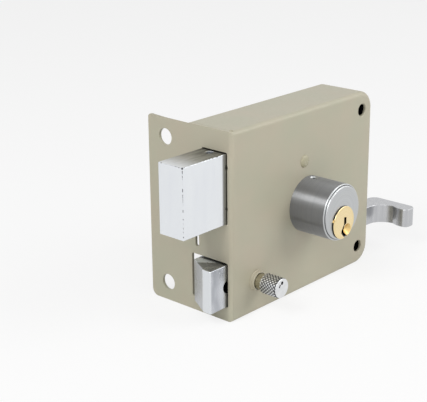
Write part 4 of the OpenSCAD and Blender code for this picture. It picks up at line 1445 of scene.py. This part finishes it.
@dataclass
class Studio:
    """The pale floor, the soft light and the camera."""

    white: str = "#FFFFFF"
    paper: str = "#F7F7F7"
    bounce: str = "#E6E6E6"
    floor_side: float = 8.0
    shadow_share: float = 0.22
    ambient: float = 0.35
    camera_place: Spot = (-0.399061, -0.33114, 0.179359)
    azimuth: float = -47.5243
    elevation: float = 19.0751
    roll: float = -0.5594
    focal_px: float = 1141.438
    frame_px: float = 427.0
    sensor_mm: float = 36.0
    clip: Span = (0.01, 20.0)
    # Key and fill on the left, one in front, one on the right and one behind.
    lamps: tuple[Softbox, ...] = (
        Softbox("left_softbox", (-0.8, -0.05, 0.72), 0.4, 4.0),
        Softbox("fill_softbox", (-0.75, -0.65, 0.6), 0.8, 3.1),
        Softbox("front_softbox", (0.35, -0.68, 0.5), 0.5, 2.6),
        Softbox("right_softbox", (0.9, -0.6, 0.45), 0.9, 1.6),
        Softbox("rim_softbox", (0.5, 0.35, 0.9), 0.25, 0.1),
    )

    def split(self, tree: Tree, unseen: Socket, seen: Socket) -> Socket:
        """Shows one shader to the camera, to mirrors and to glass, and another to the light of the room.

        Args:
            tree: The node tree to add to.
            unseen: The shader that the light of the room meets.
            seen: The shader that is looked at.

        Returns:
            The two as one shader.
        """
        path = add_node(tree, "ShaderNodeLightPath").outputs
        share = path["Is Camera Ray"]
        for other in ("Is Glossy Ray", "Is Transmission Ray"):
            either = {0: share, 1: path[other]}
            share = add_node(tree, "ShaderNodeMath", either, operation="MAXIMUM").outputs[0]
        return add_node(tree, "ShaderNodeMixShader", {0: share, 1: unseen, 2: seen}).outputs[0]

    def light_room(self) -> None:
        """Sets a white room that lights the lock evenly."""
        world = bpy.data.worlds.new("white_room")
        world.use_nodes = True
        tree = world.node_tree
        tree.nodes.clear()
        room = add_node(tree, "ShaderNodeBackground", {0: linear(self.white), 1: self.ambient}).outputs[0]
        paper = add_node(tree, "ShaderNodeBackground", {0: linear(self.paper), 1: 1.0}).outputs[0]
        add_node(tree, "ShaderNodeOutputWorld", {0: self.split(tree, room, paper)})
        bpy.context.scene.world = world

    def lay_floor(self) -> None:
        """Lays white paper under the lock; it keeps the lock's shadow."""
        made = bmesh.new()
        place = Matrix.Translation((0, 0, CORNER.z))
        bmesh.ops.create_grid(made, x_segments=1, y_segments=1, size=self.floor_side / 2, matrix=place)
        mesh = bpy.data.meshes.new("floor")
        made.to_mesh(mesh)
        made.free()
        material = bpy.data.materials.new("white_paper")
        material.use_nodes = True
        tree = material.node_tree
        tree.nodes.clear()
        matt, dim = [
            add_node(tree, "ShaderNodeBsdfDiffuse", {0: linear(tone)}).outputs[0]
            for tone in (self.paper, self.bounce)
        ]
        glow = add_node(tree, "ShaderNodeEmission", {0: linear(self.white), 1: 1.0}).outputs[0]
        lit = add_node(tree, "ShaderNodeMixShader", {0: self.shadow_share, 1: glow, 2: matt}).outputs[0]
        add_node(tree, "ShaderNodeOutputMaterial", {0: self.split(tree, dim, lit)})
        mesh.materials.append(material)
        floor = add_object("floor", mesh)

    def set_camera(self) -> None:
        """Puts the camera where the picture was taken from."""
        lens = bpy.data.cameras.new("camera")
        lens.sensor_width = self.sensor_mm
        lens.lens = self.sensor_mm * self.focal_px / self.frame_px
        lens.clip_start, lens.clip_end = self.clip
        turn, tilt = math.radians(self.azimuth), math.radians(self.elevation)
        back = Vector((math.sin(turn) * math.cos(tilt), -math.cos(turn) * math.cos(tilt), math.sin(tilt)))
        level = (-back).to_track_quat("-Z", "Y").to_matrix()
        rolled = level @ Matrix.Rotation(math.radians(self.roll), 3, "Z")
        made = add_object("camera", lens)
        made.matrix_world = Matrix.Translation(self.camera_place) @ rolled.to_4x4()
        bpy.context.scene.camera = made

    def build(self) -> None:
        """Sets the stage."""
        bpy.context.scene.view_settings.view_transform = "Standard"
        self.set_camera()
        self.light_room()
        self.lay_floor()
        for lamp in self.lamps:
            lamp.hang((CAD_BOX[0] + CAD_BOX[1]) / 2)


def main() -> None:
    """Builds the studio and the lock, piece by piece."""
    logging.basicConfig(level=logging.INFO, format="%(name)s: %(message)s")
    for assembly in (
        Studio, Case, DeadBolt, Latch, ReturnSpring, PullLever, Cylinder, KeyPlug, HoldbackKnob, RivetHead
    ):
        assembly().build()
    dress_nodes()


if __name__ == "__main__":
    main()
